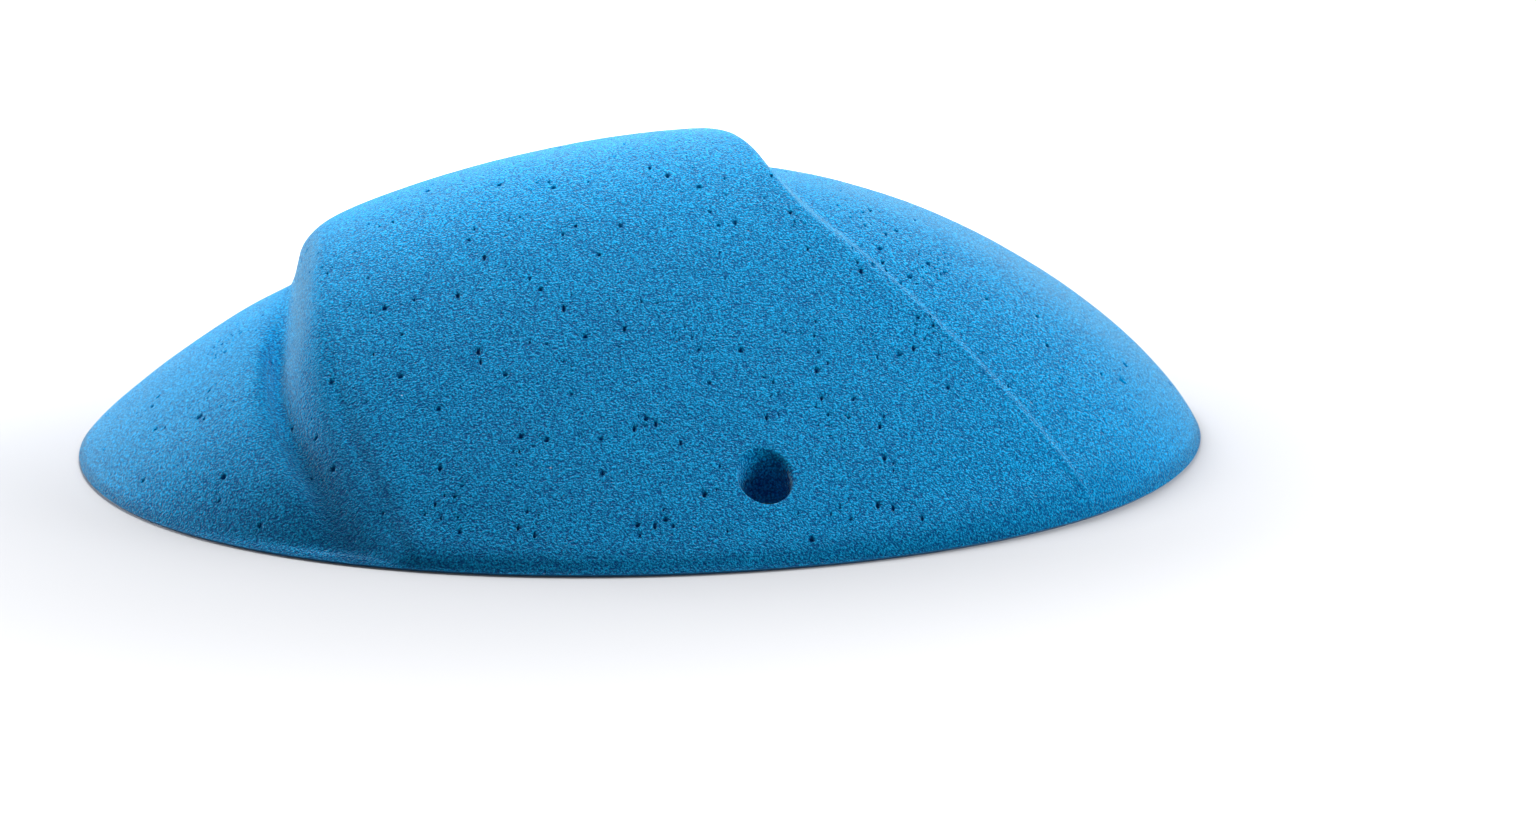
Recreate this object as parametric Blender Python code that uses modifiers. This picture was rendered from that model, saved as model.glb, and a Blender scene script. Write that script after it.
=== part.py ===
"""Crimp climbing hold, cast in polyurethane resin with a hollow back.

The wall plane is z = 0 and +Z points away from the wall.  +Y is up the wall in use.
The origin is the middle of the hold's footprint.  Sizes are in metres, angles in degrees.

The outside is one relief over an oval footprint: a low dome, and on it a raised panel whose
front is a flat slab that starts flush at the lower rim.  The panel rises to the crimp edge,
a rounded lip that faces up the wall.
"""
import math

import bmesh
import bpy
import numpy as np
from mathutils import Vector
from mathutils.geometry import delaunay_2d_cdt

# Footprint
LENGTH = 0.400
WIDTH = 0.310
OUTLINE_FULLNESS = 0.104
BASE_CHAMFER = 0.001

# Dome
DOME_HEIGHT = 0.0932
DOME_LEAN_RATIO = 0.156
DOME_END_DROP_RATIO = 0.358
RIM_STEEPNESS_RATIO = 1.029

# Raised panel: its crown above the dome's, and the slab that is the hold's front
PANEL_RISE = 0.0117
PANEL_LEAN_RATIO = 0.206
PANEL_END_LIFT_RATIO = 0.137
PANEL_FADE_RATIOS = (0.80, 0.97)
SLAB_ANGLE = 34.8
SLAB_FOOT = 0.0015
SLAB_WRAP_RATIO = 0.70
PANEL_BLEND = 0.032
SIDE_BLEND = 0.020
SLAB_RIM_BLEND = 0.004
SIDE_RIM_BLEND = 0.032
SIDE_LIFT_RATIO = 0.10

# Panel edges in plan: a point that each passes, and the heading of its inward normal
RIGHT_KNEE = (0.0483, -0.0174)
RIGHT_REAR_HEADING = 194.6
RIGHT_FRONT_HEADING = 224.4
LEFT_REAR_POINT = (-0.119, -0.0276)
LEFT_REAR_HEADING = 0.0
LEFT_FRONT_POINT = (-0.1228, -0.0622)
LEFT_FRONT_HEADING = 20.9
LIP_POINT = (-0.045, 0.0444)
LIP_HEADING = -86.7
EDGE_BEND = 0.010
CORNER_BEND = 0.022

# Panel edges in section
RIGHT_EDGE_RADIUS = 0.0025
RIGHT_WALL_ANGLE = 64.0
LEFT_REAR_RADIUS = 0.0055
LEFT_REAR_WALL_ANGLE = 82.0
LEFT_FRONT_RADIUS = 0.0035
LEFT_FRONT_WALL_ANGLE = 70.0
LEFT_FILLET_WIDTH = 0.015
LEFT_CREST_ROUNDING = 0.0025
LIP_RADIUS = 0.009
LIP_WALL_ANGLE = 76.0
WALL_FOOT_BLEND = 0.008
LEAST_BLEND_RATIO = 0.02
BLEND_RUN_IN = 0.004

# Valley worked into the dome beside the panel's left edge, deepest at the front
VALLEY_DEPTH_RATIO = 0.22
VALLEY_OFFSET = 0.0115
VALLEY_REACH = 0.0062
VALLEY_TOP = 0.020
VALLEY_BOTTOM = -0.046

# Groove inside the front half of the panel's left edge
GROOVE_DEPTH = 0.0014
GROOVE_OFFSET = 0.0022
GROOVE_REACH = 0.0026
GROOVE_TOP = -0.035
GROOVE_BOTTOM = -0.080
GROOVE_FADE_RATIOS = (0.72, 0.98)

# Valley for the fingers at the foot of the lip
FINGER_VALLEY_DEPTH = 0.005
FINGER_VALLEY_OFFSET = 0.014
FINGER_VALLEY_REACH = 0.016
FINGER_VALLEY_RUNOUT = 0.025

# Hollow back
SHELL_WALL = 0.011
RIM_WIDTH = 0.018

# Bolt fixings
FRONT_BOLT_X = 0.0291
FRONT_BOLT_SETBACK = 0.0307
FRONT_SEAT_HEIGHT = 0.008
REAR_BOLT_X = -0.030
REAR_BOLT_SETBACK = 0.055
REAR_SEAT_HEIGHT = 0.022
BOLT_BORE = 0.011
COUNTERBORE = 0.018
WASHER_BORE = 0.0105
WASHER_DIAMETER = 0.027
WASHER_THICKNESS = 0.0025
WASHER_EDGE = 0.0003
CAST_GAP = 0.0003
BOSS_WALL = 0.0065

# Mesh
POINT_SPACING = 0.0098
HOLLOW_SPACING = 0.0140
EDGE_SPACING_RATIO = 0.24
GRID_SPACING_RATIO = 0.62
GRID_MARGIN_RATIO = 0.35
RIM_POINTS = 120
HOLLOW_RIM_POINTS = 72
RIM_RINGS = (0.0014, 0.0036, 0.0075)
EDGE_RINGS = (0.009, 0.005, 0.0025, 0.0, -0.003, -0.0065, -0.010, -0.0135, -0.0175)
EDGE_RAYS = 150
RAY_SAMPLES = 801
TURN_STEPS = 40
SHARP_ANGLE = 38.0
CUT_MARGIN = 0.020

RESIN_BLUE = (0.010, 0.178, 0.546, 1.0)
RESIN_ROUGHNESS = 0.62
ZINC_GREY = (0.62, 0.63, 0.64, 1.0)
ZINC_ROUGHNESS = 0.38


def smooth_min(a, b, blend):
    """Lower of two heights, rounded where they are less than blend apart."""
    overlap = np.maximum(blend - np.abs(a - b), 0.0)
    return np.minimum(a, b) - overlap ** 2 / (4.0 * blend)


def smooth_max(a, b, blend):
    """Higher of two heights, rounded where they are less than blend apart."""
    return -smooth_min(-a, -b, blend)


def ease(value, start, end):
    """0 before start, 1 past end, with a smooth climb between."""
    share = np.clip((value - start) / (end - start), 0.0, 1.0)
    return share * share * (3.0 - 2.0 * share)


def mix(a, b, share):
    """a where share is 0, b where it is 1."""
    return a + (b - a) * share


def outline_share(x, y):
    """0 at the middle of the footprint and 1 on its outline."""
    across = (2.0 * x / LENGTH) ** 2
    along = (2.0 * y / WIDTH) ** 2
    return across + along - OUTLINE_FULLNESS * across * along


def crown(share):
    """Height share of a steep-rimmed cap: 1 in the middle, 0 on the outline."""
    rim = math.sqrt(RIM_STEEPNESS_RATIO ** 2 - 1.0)
    height = np.sqrt(RIM_STEEPNESS_RATIO ** 2 - np.clip(share, 0.0, 1.0)) - rim
    return height / (RIM_STEEPNESS_RATIO - rim)


def distance_inside(x, y, point, heading):
    """Distance from the line through point, positive on the side that heading points to."""
    turn = math.radians(heading)
    return (x - point[0]) * math.cos(turn) + (y - point[1]) * math.sin(turn)


def panel_distances(x, y):
    """Distance inside the panel's right edge, left edge and lip."""
    right = smooth_max(distance_inside(x, y, RIGHT_KNEE, RIGHT_REAR_HEADING),
                       distance_inside(x, y, RIGHT_KNEE, RIGHT_FRONT_HEADING), EDGE_BEND)
    left = smooth_min(distance_inside(x, y, LEFT_REAR_POINT, LEFT_REAR_HEADING),
                      distance_inside(x, y, LEFT_FRONT_POINT, LEFT_FRONT_HEADING), EDGE_BEND)
    lip = distance_inside(x, y, LIP_POINT, LIP_HEADING)
    return right, left, lip


def panel_distance(x, y):
    """Distance inside the panel's whole edge, with rounded corners."""
    right, left, lip = panel_distances(x, y)
    return smooth_min(smooth_min(right, left, CORNER_BEND), lip, CORNER_BEND)


def edge_drop(past_crest, radius, angle):
    """Fall below the panel's crown over a rounded edge and down its wall."""
    on_arc = np.clip(past_crest, 0.0, radius * np.sin(angle))
    on_wall = np.maximum(past_crest - radius * np.sin(angle), 0.0)
    return radius - np.sqrt(radius ** 2 - on_arc ** 2) + on_wall * np.tan(angle)


def edge_section(x, y):
    """Edge radius, wall angle in radians and share of soft fillet, from side to side."""
    to_front = ease(y, LIP_POINT[1], LEFT_FRONT_POINT[1])
    to_right = ease(x, LEFT_REAR_POINT[0], RIGHT_KNEE[0])
    to_lip = ease(y, RIGHT_KNEE[1], LIP_POINT[1])
    left_radius = mix(LEFT_REAR_RADIUS, LEFT_FRONT_RADIUS, to_front)
    left_angle = mix(LEFT_REAR_WALL_ANGLE, LEFT_FRONT_WALL_ANGLE, to_front)
    radius = mix(mix(left_radius, RIGHT_EDGE_RADIUS, to_right), LIP_RADIUS, to_lip)
    angle = mix(mix(left_angle, RIGHT_WALL_ANGLE, to_right), LIP_WALL_ANGLE, to_lip)
    return radius, np.radians(angle), to_front * (1.0 - to_right)


def crest_inset(x, y):
    """How far inside the panel's edge its rounding starts."""
    radius, angle, _ = edge_section(x, y)
    return radius * np.tan(angle / 2.0)


def crowns(share, across):
    """Heights of the dome and of the panel's crown above it, before the slab is cut."""
    cap = crown(share)
    dome = DOME_HEIGHT * cap * (1.0 + DOME_LEAN_RATIO * across - DOME_END_DROP_RATIO * across ** 2)
    panel_height = DOME_HEIGHT + PANEL_RISE
    panel = panel_height * cap * (1.0 + PANEL_LEAN_RATIO * across + PANEL_END_LIFT_RATIO * across ** 2)
    panel = dome + np.maximum(panel - dome, 0.0) * (1.0 - ease(share, *PANEL_FADE_RATIOS))
    return dome, panel


def slab_height(y, across, inset):
    """Height of the flat slab that rises from the front rim."""
    front_rim = WIDTH / 2.0 * np.sqrt(np.maximum(1.0 - SLAB_WRAP_RATIO * across ** 2, 0.0))
    slope = math.radians(SLAB_ANGLE)
    return SLAB_FOOT + (y + front_rim) * math.tan(slope) - inset / math.cos(slope)


def hump(distance, reach):
    """1 at no distance, falling smoothly to 0 past the reach."""
    return np.exp(-(distance / reach) ** 2)


def ground(x, y, inset=0.0):
    """Height of the dome and its valleys without the panel, or of a surface inset below it."""
    share = outline_share(x, y)
    across = 2.0 * x / LENGTH
    right, left, lip = panel_distances(x, y)
    side_slab = slab_height(y, across, inset) + SIDE_LIFT_RATIO * np.maximum(-left, 0.0)
    rim_blend = mix(SLAB_RIM_BLEND, SIDE_RIM_BLEND, ease(-left, -VALLEY_REACH, 0.0))
    blend = mix(SIDE_BLEND, rim_blend, ease(share, PANEL_FADE_RATIOS[0], 1.0))
    dome = smooth_min(side_slab, crowns(share, across)[0] - inset, blend)

    valley = hump(crest_inset(x, y) - left - VALLEY_OFFSET, VALLEY_REACH)
    dome = dome * (1.0 - VALLEY_DEPTH_RATIO * valley * ease(y, VALLEY_TOP, VALLEY_BOTTOM))
    beside = ease(smooth_min(right, left, CORNER_BEND), -FINGER_VALLEY_RUNOUT, FINGER_VALLEY_RUNOUT)
    return dome - FINGER_VALLEY_DEPTH * hump(lip + FINGER_VALLEY_OFFSET, FINGER_VALLEY_REACH) * beside


def relief(x, y):
    """Height of the outside above the base edge."""
    share = outline_share(x, y)
    across = 2.0 * x / LENGTH
    dome = ground(x, y)
    blend = mix(PANEL_BLEND, SLAB_RIM_BLEND, ease(share, PANEL_FADE_RATIOS[0], 1.0))
    panel = smooth_min(slab_height(y, across, 0.0), crowns(share, across)[1], blend)

    crest = crest_inset(x, y)
    groove = hump(panel_distances(x, y)[1] - crest - GROOVE_OFFSET, GROOVE_REACH)
    groove = groove * ease(y, GROOVE_TOP, GROOVE_BOTTOM) * (1.0 - ease(share, *GROOVE_FADE_RATIOS))
    panel = panel - GROOVE_DEPTH * groove

    radius, angle, soft = edge_section(x, y)
    past_crest = crest - panel_distance(x, y)
    wall = panel - edge_drop(past_crest, radius, angle)
    foot_blend = WALL_FOOT_BLEND * mix(LEAST_BLEND_RATIO, 1.0, ease(past_crest, 0.0, BLEND_RUN_IN))
    walled = smooth_max(dome, wall, foot_blend)
    fall = smooth_max(past_crest, 0.0, LEFT_CREST_ROUNDING) / LEFT_FILLET_WIDTH
    filleted = dome + np.maximum(panel - dome, 0.0) * np.clip(1.0 - fall, 0.0, 1.0) ** 2
    return mix(walled, filleted, soft)


def outline_ring(half_length, half_width, count):
    """Points round the oval outline, the first one at +X."""
    turn = np.arange(count) * (2.0 * math.pi / count)
    product = OUTLINE_FULLNESS * np.cos(turn) ** 2 * np.sin(turn) ** 2
    reach = np.sqrt(2.0 / (1.0 + np.sqrt(1.0 - 4.0 * product)))
    return np.column_stack([half_length * reach * np.cos(turn), half_width * reach * np.sin(turn)])


def panel_middle():
    """A point well inside the panel, from which its whole edge can be seen."""
    return np.array([(LEFT_REAR_POINT[0] + RIGHT_KNEE[0]) / 2.0, RIGHT_KNEE[1] - LIP_POINT[1]])


def edge_points(level):
    """Points where rays from the panel's middle reach a given distance inside its edge."""
    middle = panel_middle()
    points = []
    reach = np.linspace(0.0, LENGTH, RAY_SAMPLES)
    for turn in np.arange(EDGE_RAYS) * (2.0 * math.pi / EDGE_RAYS):
        ray = middle + reach[:, None] * np.array([math.cos(turn), math.sin(turn)])
        outside = np.nonzero(panel_distance(ray[:, 0], ray[:, 1]) < level)[0]
        if len(outside):
            points.append(ray[outside[0]])
    return np.array(points)


def triangle_grid(spacing):
    """Points of an even triangular grid over the footprint."""
    rows = int(WIDTH / (spacing * math.sqrt(0.75))) // 2 + 1
    columns = int(LENGTH / spacing) // 2 + 1
    points = [(spacing * (column + 0.5 * (row % 2)), spacing * math.sqrt(0.75) * row)
              for row in range(-rows, rows + 1) for column in range(-columns, columns + 1)]
    return np.array(points)


def add_spaced(kept, points, spacing):
    """Adds the points that lie at least spacing from every kept one and from each other."""
    for point in points:
        if np.min(np.sum((kept - point) ** 2, axis=1)) >= spacing ** 2:
            kept = np.vstack([kept, point])
    return kept


def plan_points(setback, ring_count, spacing, ring_depths, edge_levels):
    """Plan points of a relief: the outline first, then rings, panel edges and a grid."""
    half_length, half_width = LENGTH / 2.0 - setback, WIDTH / 2.0 - setback
    points = outline_ring(half_length, half_width, ring_count)
    for depth in ring_depths:
        points = np.vstack([points, outline_ring(half_length - depth, half_width - depth, ring_count)])
    margin = setback + (ring_depths[-1] if ring_depths else 0.0) + GRID_MARGIN_RATIO * spacing
    limit = (1.0 - margin / (WIDTH / 2.0)) ** 2
    for level in edge_levels:
        ring = edge_points(level)
        ring = ring[outline_share(ring[:, 0], ring[:, 1]) < limit]
        points = add_spaced(points, ring, EDGE_SPACING_RATIO * spacing)
    grid = triangle_grid(spacing)
    grid = grid[outline_share(grid[:, 0], grid[:, 1]) < limit]
    return add_spaced(points, grid, GRID_SPACING_RATIO * spacing)


def relief_mesh(name, points, ring_count, heights, foot_ring, foot_height):
    """A closed body: the relief over its points, a wall down to the foot ring, and a flat base."""
    plan = [Vector(point) for point in points.tolist()]
    triangles = delaunay_2d_cdt(plan, [], [], 0, 1e-7)[2]
    body = bmesh.new()
    top = [body.verts.new((x, y, z)) for (x, y), z in zip(points.tolist(), heights.tolist())]
    for triangle in triangles:
        body.faces.new([top[index] for index in triangle])
    foot = [body.verts.new((x, y, foot_height)) for x, y in foot_ring.tolist()]
    for index in range(ring_count):
        after = (index + 1) % ring_count
        body.faces.new([top[index], top[after], foot[after], foot[index]])
    body.faces.new(foot)
    bmesh.ops.recalc_face_normals(body, faces=body.faces[:])
    mesh = bpy.data.meshes.new(name)
    body.to_mesh(mesh)
    body.free()
    return mesh


def collection(name):
    """A new collection in the scene."""
    group = bpy.data.collections.new(name)
    bpy.context.scene.collection.children.link(group)
    return group


def material(name, colour, roughness, metallic):
    """A Principled material of one finish."""
    finish = bpy.data.materials.new(name)
    finish.use_nodes = True
    shader = finish.node_tree.nodes["Principled BSDF"]
    shader.inputs["Base Color"].default_value = colour
    shader.inputs["Roughness"].default_value = roughness
    shader.inputs["Metallic"].default_value = metallic
    return finish


def add_object(name, mesh, group, finish=None):
    """An object in its collection; without a finish it is a cutter."""
    piece = bpy.data.objects.new(name, mesh)
    group.objects.link(piece)
    if finish:
        mesh.materials.append(finish)
        mesh.shade_smooth()
        mesh.set_sharp_from_angle(angle=math.radians(SHARP_ANGLE))
    else:
        piece.hide_render = True
        piece.display_type = 'WIRE'
    return piece


def turned(name, profile, closed, group, finish=None):
    """A body turned about Z from (radius, height) points that run down its outer side."""
    outline = bpy.data.meshes.new(name)
    edges = [(index, index + 1) for index in range(len(profile) - 1)]
    if closed:
        edges.append((len(profile) - 1, 0))
    outline.from_pydata([(radius, 0.0, height) for radius, height in profile], edges, [])
    piece = add_object(name, outline, group, finish)
    screw = piece.modifiers.new("turn", 'SCREW')
    screw.axis = 'Z'
    screw.steps = TURN_STEPS
    screw.render_steps = TURN_STEPS
    screw.use_merge_vertices = True
    screw.merge_threshold = 0.00001
    return piece


def cut(piece, cutter):
    """Takes the cutter's shape out of a piece."""
    boolean = piece.modifiers.new(cutter.name, 'BOOLEAN')
    boolean.operation = 'DIFFERENCE'
    boolean.object = cutter


def make_body(group, cutters):
    """The cast shell: the relief, hollowed from behind."""
    points = plan_points(0.0, RIM_POINTS, POINT_SPACING, RIM_RINGS, EDGE_RINGS)
    heights = BASE_CHAMFER + np.maximum(relief(points[:, 0], points[:, 1]), 0.0)
    foot = outline_ring(LENGTH / 2.0 - BASE_CHAMFER, WIDTH / 2.0 - BASE_CHAMFER, RIM_POINTS)
    mesh = relief_mesh("hold_body", points, RIM_POINTS, heights, foot, 0.0)
    body = add_object("hold_body", mesh, group, material("blue_resin", RESIN_BLUE, RESIN_ROUGHNESS, 0.0))

    points = plan_points(RIM_WIDTH, HOLLOW_RIM_POINTS, HOLLOW_SPACING, (), ())
    heights = BASE_CHAMFER + ground(points[:, 0], points[:, 1], SHELL_WALL)
    mouth = points[:HOLLOW_RIM_POINTS]
    mesh = relief_mesh("hollow", points, HOLLOW_RIM_POINTS, heights, mouth, -CUT_MARGIN)
    hollow = add_object("hollow", mesh, cutters)
    cut(body, hollow)
    return body, hollow


def make_fixing(side, place, seat, body, hollow, group, cutters, finish):
    """A bolt boss with its bore, and the washer cast into it."""
    above = 2.0 * (DOME_HEIGHT + PANEL_RISE)
    boss_radius = WASHER_DIAMETER / 2.0 + CAST_GAP + BOSS_WALL
    boss = turned(side + "_boss_space", [(0.0, above), (boss_radius, above),
                  (boss_radius, -2.0 * CUT_MARGIN), (0.0, -2.0 * CUT_MARGIN)], False, cutters)
    boss.location = (*place, 0.0)
    cut(hollow, boss)

    pocket = WASHER_DIAMETER / 2.0 + CAST_GAP
    pocket_top, pocket_floor = seat + WASHER_THICKNESS + CAST_GAP, seat - CAST_GAP
    bore = turned(side + "_bore_space", [(0.0, above), (COUNTERBORE / 2.0, above),
                  (COUNTERBORE / 2.0, pocket_top), (pocket, pocket_top), (pocket, pocket_floor),
                  (BOLT_BORE / 2.0, pocket_floor), (BOLT_BORE / 2.0, -CUT_MARGIN), (0.0, -CUT_MARGIN)],
                  False, cutters)
    bore.location = (*place, 0.0)
    cut(body, bore)

    inner, outer, top = WASHER_BORE / 2.0, WASHER_DIAMETER / 2.0, WASHER_THICKNESS
    washer = turned(side + "_bolt_washer", [(inner, top), (outer - WASHER_EDGE, top),
                    (outer, top - WASHER_EDGE), (outer, WASHER_EDGE), (outer - WASHER_EDGE, 0.0),
                    (inner, 0.0)], True, group, finish)
    washer.location = (*place, seat)
    return washer


def main():
    """Builds the hold."""
    for leftover in list(bpy.data.objects):
        bpy.data.objects.remove(leftover)
    group, cutters = collection("crimp_hold"), collection("cutters")
    body, hollow = make_body(group, cutters)
    steel = material("zinc_plated_steel", ZINC_GREY, ZINC_ROUGHNESS, 1.0)
    front = (FRONT_BOLT_X, FRONT_BOLT_SETBACK - WIDTH / 2.0)
    rear = (REAR_BOLT_X, WIDTH / 2.0 - REAR_BOLT_SETBACK)
    make_fixing("front", front, FRONT_SEAT_HEIGHT, body, hollow, group, cutters, steel)
    make_fixing("rear", rear, REAR_SEAT_HEIGHT, body, hollow, group, cutters, steel)


main()
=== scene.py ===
"""Crimp climbing hold in cast polyurethane resin: its looks, its light and its camera.

The hold lies with its wall side on the floor.  Everything is in metres, in the frame of the
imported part: the origin is the middle of the footprint, +Z points away from the wall and +Y is
up the wall in use.
"""
from __future__ import annotations

import logging
import math
from dataclasses import dataclass, field
from enum import Enum

import bpy
import numpy as np
from mathutils import Matrix, Vector
from mathutils.geometry import delaunay_2d_cdt


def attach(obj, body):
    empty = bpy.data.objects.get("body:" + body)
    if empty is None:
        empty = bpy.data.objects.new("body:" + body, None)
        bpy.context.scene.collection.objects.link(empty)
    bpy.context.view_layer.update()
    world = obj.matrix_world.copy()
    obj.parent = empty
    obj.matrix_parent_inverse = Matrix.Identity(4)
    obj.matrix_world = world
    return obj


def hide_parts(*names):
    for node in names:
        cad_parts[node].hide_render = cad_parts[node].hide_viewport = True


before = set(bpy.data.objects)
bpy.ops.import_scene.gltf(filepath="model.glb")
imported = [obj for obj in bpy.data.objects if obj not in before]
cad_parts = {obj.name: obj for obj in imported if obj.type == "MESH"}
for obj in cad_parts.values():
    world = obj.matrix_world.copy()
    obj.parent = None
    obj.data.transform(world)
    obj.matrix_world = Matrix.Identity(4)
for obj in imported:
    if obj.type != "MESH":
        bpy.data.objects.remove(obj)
LOG = logging.getLogger("crimp_hold")


def smooth_min(a: np.ndarray, b: np.ndarray, blend: np.ndarray) -> np.ndarray:
    """Take the lower of two heights, rounded where they are less than blend apart.

    Args:
        a: First height.
        b: Second height.
        blend: Difference of height below which the two are rounded together.

    Returns:
        The lower height.
    """
    overlap = np.maximum(blend - np.abs(a - b), 0.0)
    return np.minimum(a, b) - overlap ** 2 / (4.0 * blend)


def smooth_max(a: np.ndarray, b: np.ndarray, blend: np.ndarray) -> np.ndarray:
    """Take the higher of two heights, rounded where they are less than blend apart.

    Args:
        a: First height.
        b: Second height.
        blend: Difference of height below which the two are rounded together.

    Returns:
        The higher height.
    """
    return -smooth_min(-a, -b, blend)


def ease(value: np.ndarray, start: float, end: float) -> np.ndarray:
    """Climb smoothly from 0 at start to 1 at end.

    Args:
        value: Where the climb is read.
        start: Value at which it leaves 0.
        end: Value at which it reaches 1.

    Returns:
        The share climbed.
    """
    share = np.clip((value - start) / (end - start), 0.0, 1.0)
    return share * share * (3.0 - 2.0 * share)


def mix(a: np.ndarray, b: np.ndarray, share: np.ndarray) -> np.ndarray:
    """Go from a to b.

    Args:
        a: Value at share 0.
        b: Value at share 1.
        share: How far to go.

    Returns:
        The value in between.
    """
    return a + (b - a) * share


def hump(distance: np.ndarray, reach: float) -> np.ndarray:
    """Fall smoothly from 1 at no distance to 0 past the reach.

    Args:
        distance: Distance from the middle of the hump.
        reach: Distance at which about a third is left.

    Returns:
        Height share of the hump.
    """
    return np.exp(-(distance / reach) ** 2)


def around(count: int) -> np.ndarray:
    """Return the headings of even steps round a circle in radians, the first one at +X."""
    return np.arange(count) * (2.0 * math.pi / count)


def new_piece(name: str, points: list[tuple[float, ...]], faces: list[tuple[int, ...]],
              sharp_angle: float, *finishes: bpy.types.Material) -> bpy.types.Object:
    """Make a smooth piece with sharp edges where its faces meet steeply.

    Args:
        name: Name of the piece.
        points: Its points.
        faces: Its faces, as indexes of points.
        sharp_angle: Angle in degrees above which an edge is sharp.
        *finishes: Its materials, the main one first.

    Returns:
        The piece, in the scene.
    """
    mesh = bpy.data.meshes.new(name)
    mesh.from_pydata(points, [], faces)
    for finish in finishes:
        mesh.materials.append(finish)
    mesh.shade_smooth()
    mesh.set_sharp_from_angle(angle=math.radians(sharp_angle))
    mesh.update()
    piece = bpy.data.objects.new(name, mesh)
    bpy.context.scene.collection.objects.link(piece)
    return piece


@dataclass
class HoldForm:
    """The outside of the hold as a height over its oval footprint.

    The sizes are the CAD part's, but for softer rounding on the panel's left wall and foot, a rim
    that is a little steeper in its last 2 mm, and a groove set a little further in.
    """

    length: float = 0.400
    width: float = 0.310
    outline_fullness: float = 0.104
    base_chamfer: float = 0.001
    dome_height: float = 0.0932
    dome_lean: float = 0.156
    dome_end_drop: float = 0.358
    rim_steepness: float = 1.029
    panel_rise: float = 0.0117
    panel_lean: float = 0.206
    panel_end_lift: float = 0.137
    panel_fade: tuple[float, float] = (0.80, 0.97)
    slab_angle: float = 34.8
    slab_foot: float = 0.0015
    slab_wrap: float = 0.70
    panel_blend: float = 0.032
    side_blend: float = 0.020
    slab_rim_blend: float = 0.010
    side_rim_blend: float = 0.032
    side_lift: float = 0.10
    right_knee: tuple[float, float] = (0.0483, -0.0174)
    right_rear_heading: float = 194.6
    right_front_heading: float = 224.4
    left_rear_point: tuple[float, float] = (-0.119, -0.0276)
    left_rear_heading: float = 0.0
    left_front_point: tuple[float, float] = (-0.1228, -0.0622)
    left_front_heading: float = 20.9
    lip_point: tuple[float, float] = (-0.045, 0.0444)
    lip_heading: float = -86.7
    edge_bend: float = 0.010
    corner_bend: float = 0.022
    right_edge_radius: float = 0.0025
    right_wall_angle: float = 64.0
    left_rear_radius: float = 0.0085
    left_rear_wall_angle: float = 82.0
    left_front_radius: float = 0.0035
    left_front_wall_angle: float = 70.0
    left_fillet_width: float = 0.015
    left_crest_rounding: float = 0.0025
    lip_radius: float = 0.009
    lip_wall_angle: float = 76.0
    wall_foot_blend: float = 0.008
    least_blend: float = 0.02
    blend_run_in: float = 0.004
    valley_depth: float = 0.22
    valley_offset: float = 0.0115
    valley_reach: float = 0.0062
    valley_rise: tuple[float, float] = (0.020, -0.046)
    groove_depth: float = 0.0016
    groove_offset: float = 0.0040
    groove_reach: float = 0.0030
    groove_rise: tuple[float, float] = (-0.045, -0.080)
    groove_fade: tuple[float, float] = (0.72, 0.98)
    crest_offset: float = 0.001
    crest_least_rise: float = 0.004
    crest_wear_and_highlight_reach: float = 0.0028
    # Painted shade: where and how strongly the colour is darkened beside and on the panel's left wall, in
    # the groove, on the rim and low on the front.
    painted_shade_rise: tuple[float, float] = (-0.065, -0.100)
    valley_painted_shade: float = 0.60
    valley_painted_shade_reach: float = 0.0085
    groove_painted_shade: float = 0.42
    wall_painted_shade: float = 0.30
    wall_painted_shade_reach: float = 0.006
    wall_painted_shade_fade: tuple[float, float] = (0.050, 0.035)
    rim_painted_shade: float = 0.45
    rim_painted_shade_band: tuple[float, float] = (0.972, 0.988)
    front_painted_shade: float = 0.20
    front_painted_shade_band: tuple[float, float] = (0.84, 0.97)
    finger_valley_depth: float = 0.005
    finger_valley_offset: float = 0.014
    finger_valley_reach: float = 0.016
    finger_valley_runout: float = 0.025
    shell_wall: float = 0.011
    rim_width: float = 0.018
    rim_slope: float = 0.7
    rim_foot_reach: float = 0.0022
    rim_foot_blend: float = 0.0003
    wave_fade: tuple[float, float] = (0.86, 0.99)

    def outline_share(self, x: np.ndarray, y: np.ndarray, setback: float = 0.0) -> np.ndarray:
        """Tell how far out in the oval a point lies.

        Args:
            x: Plan place along the hold.
            y: Plan place across the hold.
            setback: How far the oval is drawn in from the outline.

        Returns:
            0 in the middle and 1 on the oval.
        """
        across = (x / (self.length / 2.0 - setback)) ** 2
        along = (y / (self.width / 2.0 - setback)) ** 2
        return across + along - self.outline_fullness * across * along

    def outline_ring(self, setback: float, count: int) -> np.ndarray:
        """Place points round the outline, the first one at +X.

        Args:
            setback: How far the ring is drawn in from the outline.
            count: Number of points.

        Returns:
            Plan points of the ring.
        """
        turn = around(count)
        product = self.outline_fullness * np.cos(turn) ** 2 * np.sin(turn) ** 2
        reach = np.sqrt(2.0 / (1.0 + np.sqrt(1.0 - 4.0 * product)))
        return np.column_stack([(self.length / 2.0 - setback) * reach * np.cos(turn),
                                (self.width / 2.0 - setback) * reach * np.sin(turn)])

    def distance_inside(self, x: np.ndarray, y: np.ndarray, point: tuple[float, float],
                        heading: float) -> np.ndarray:
        """Return the distance from a line in plan, positive on the side that the heading looks to."""
        turn = math.radians(heading)
        return (x - point[0]) * math.cos(turn) + (y - point[1]) * math.sin(turn)

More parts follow.
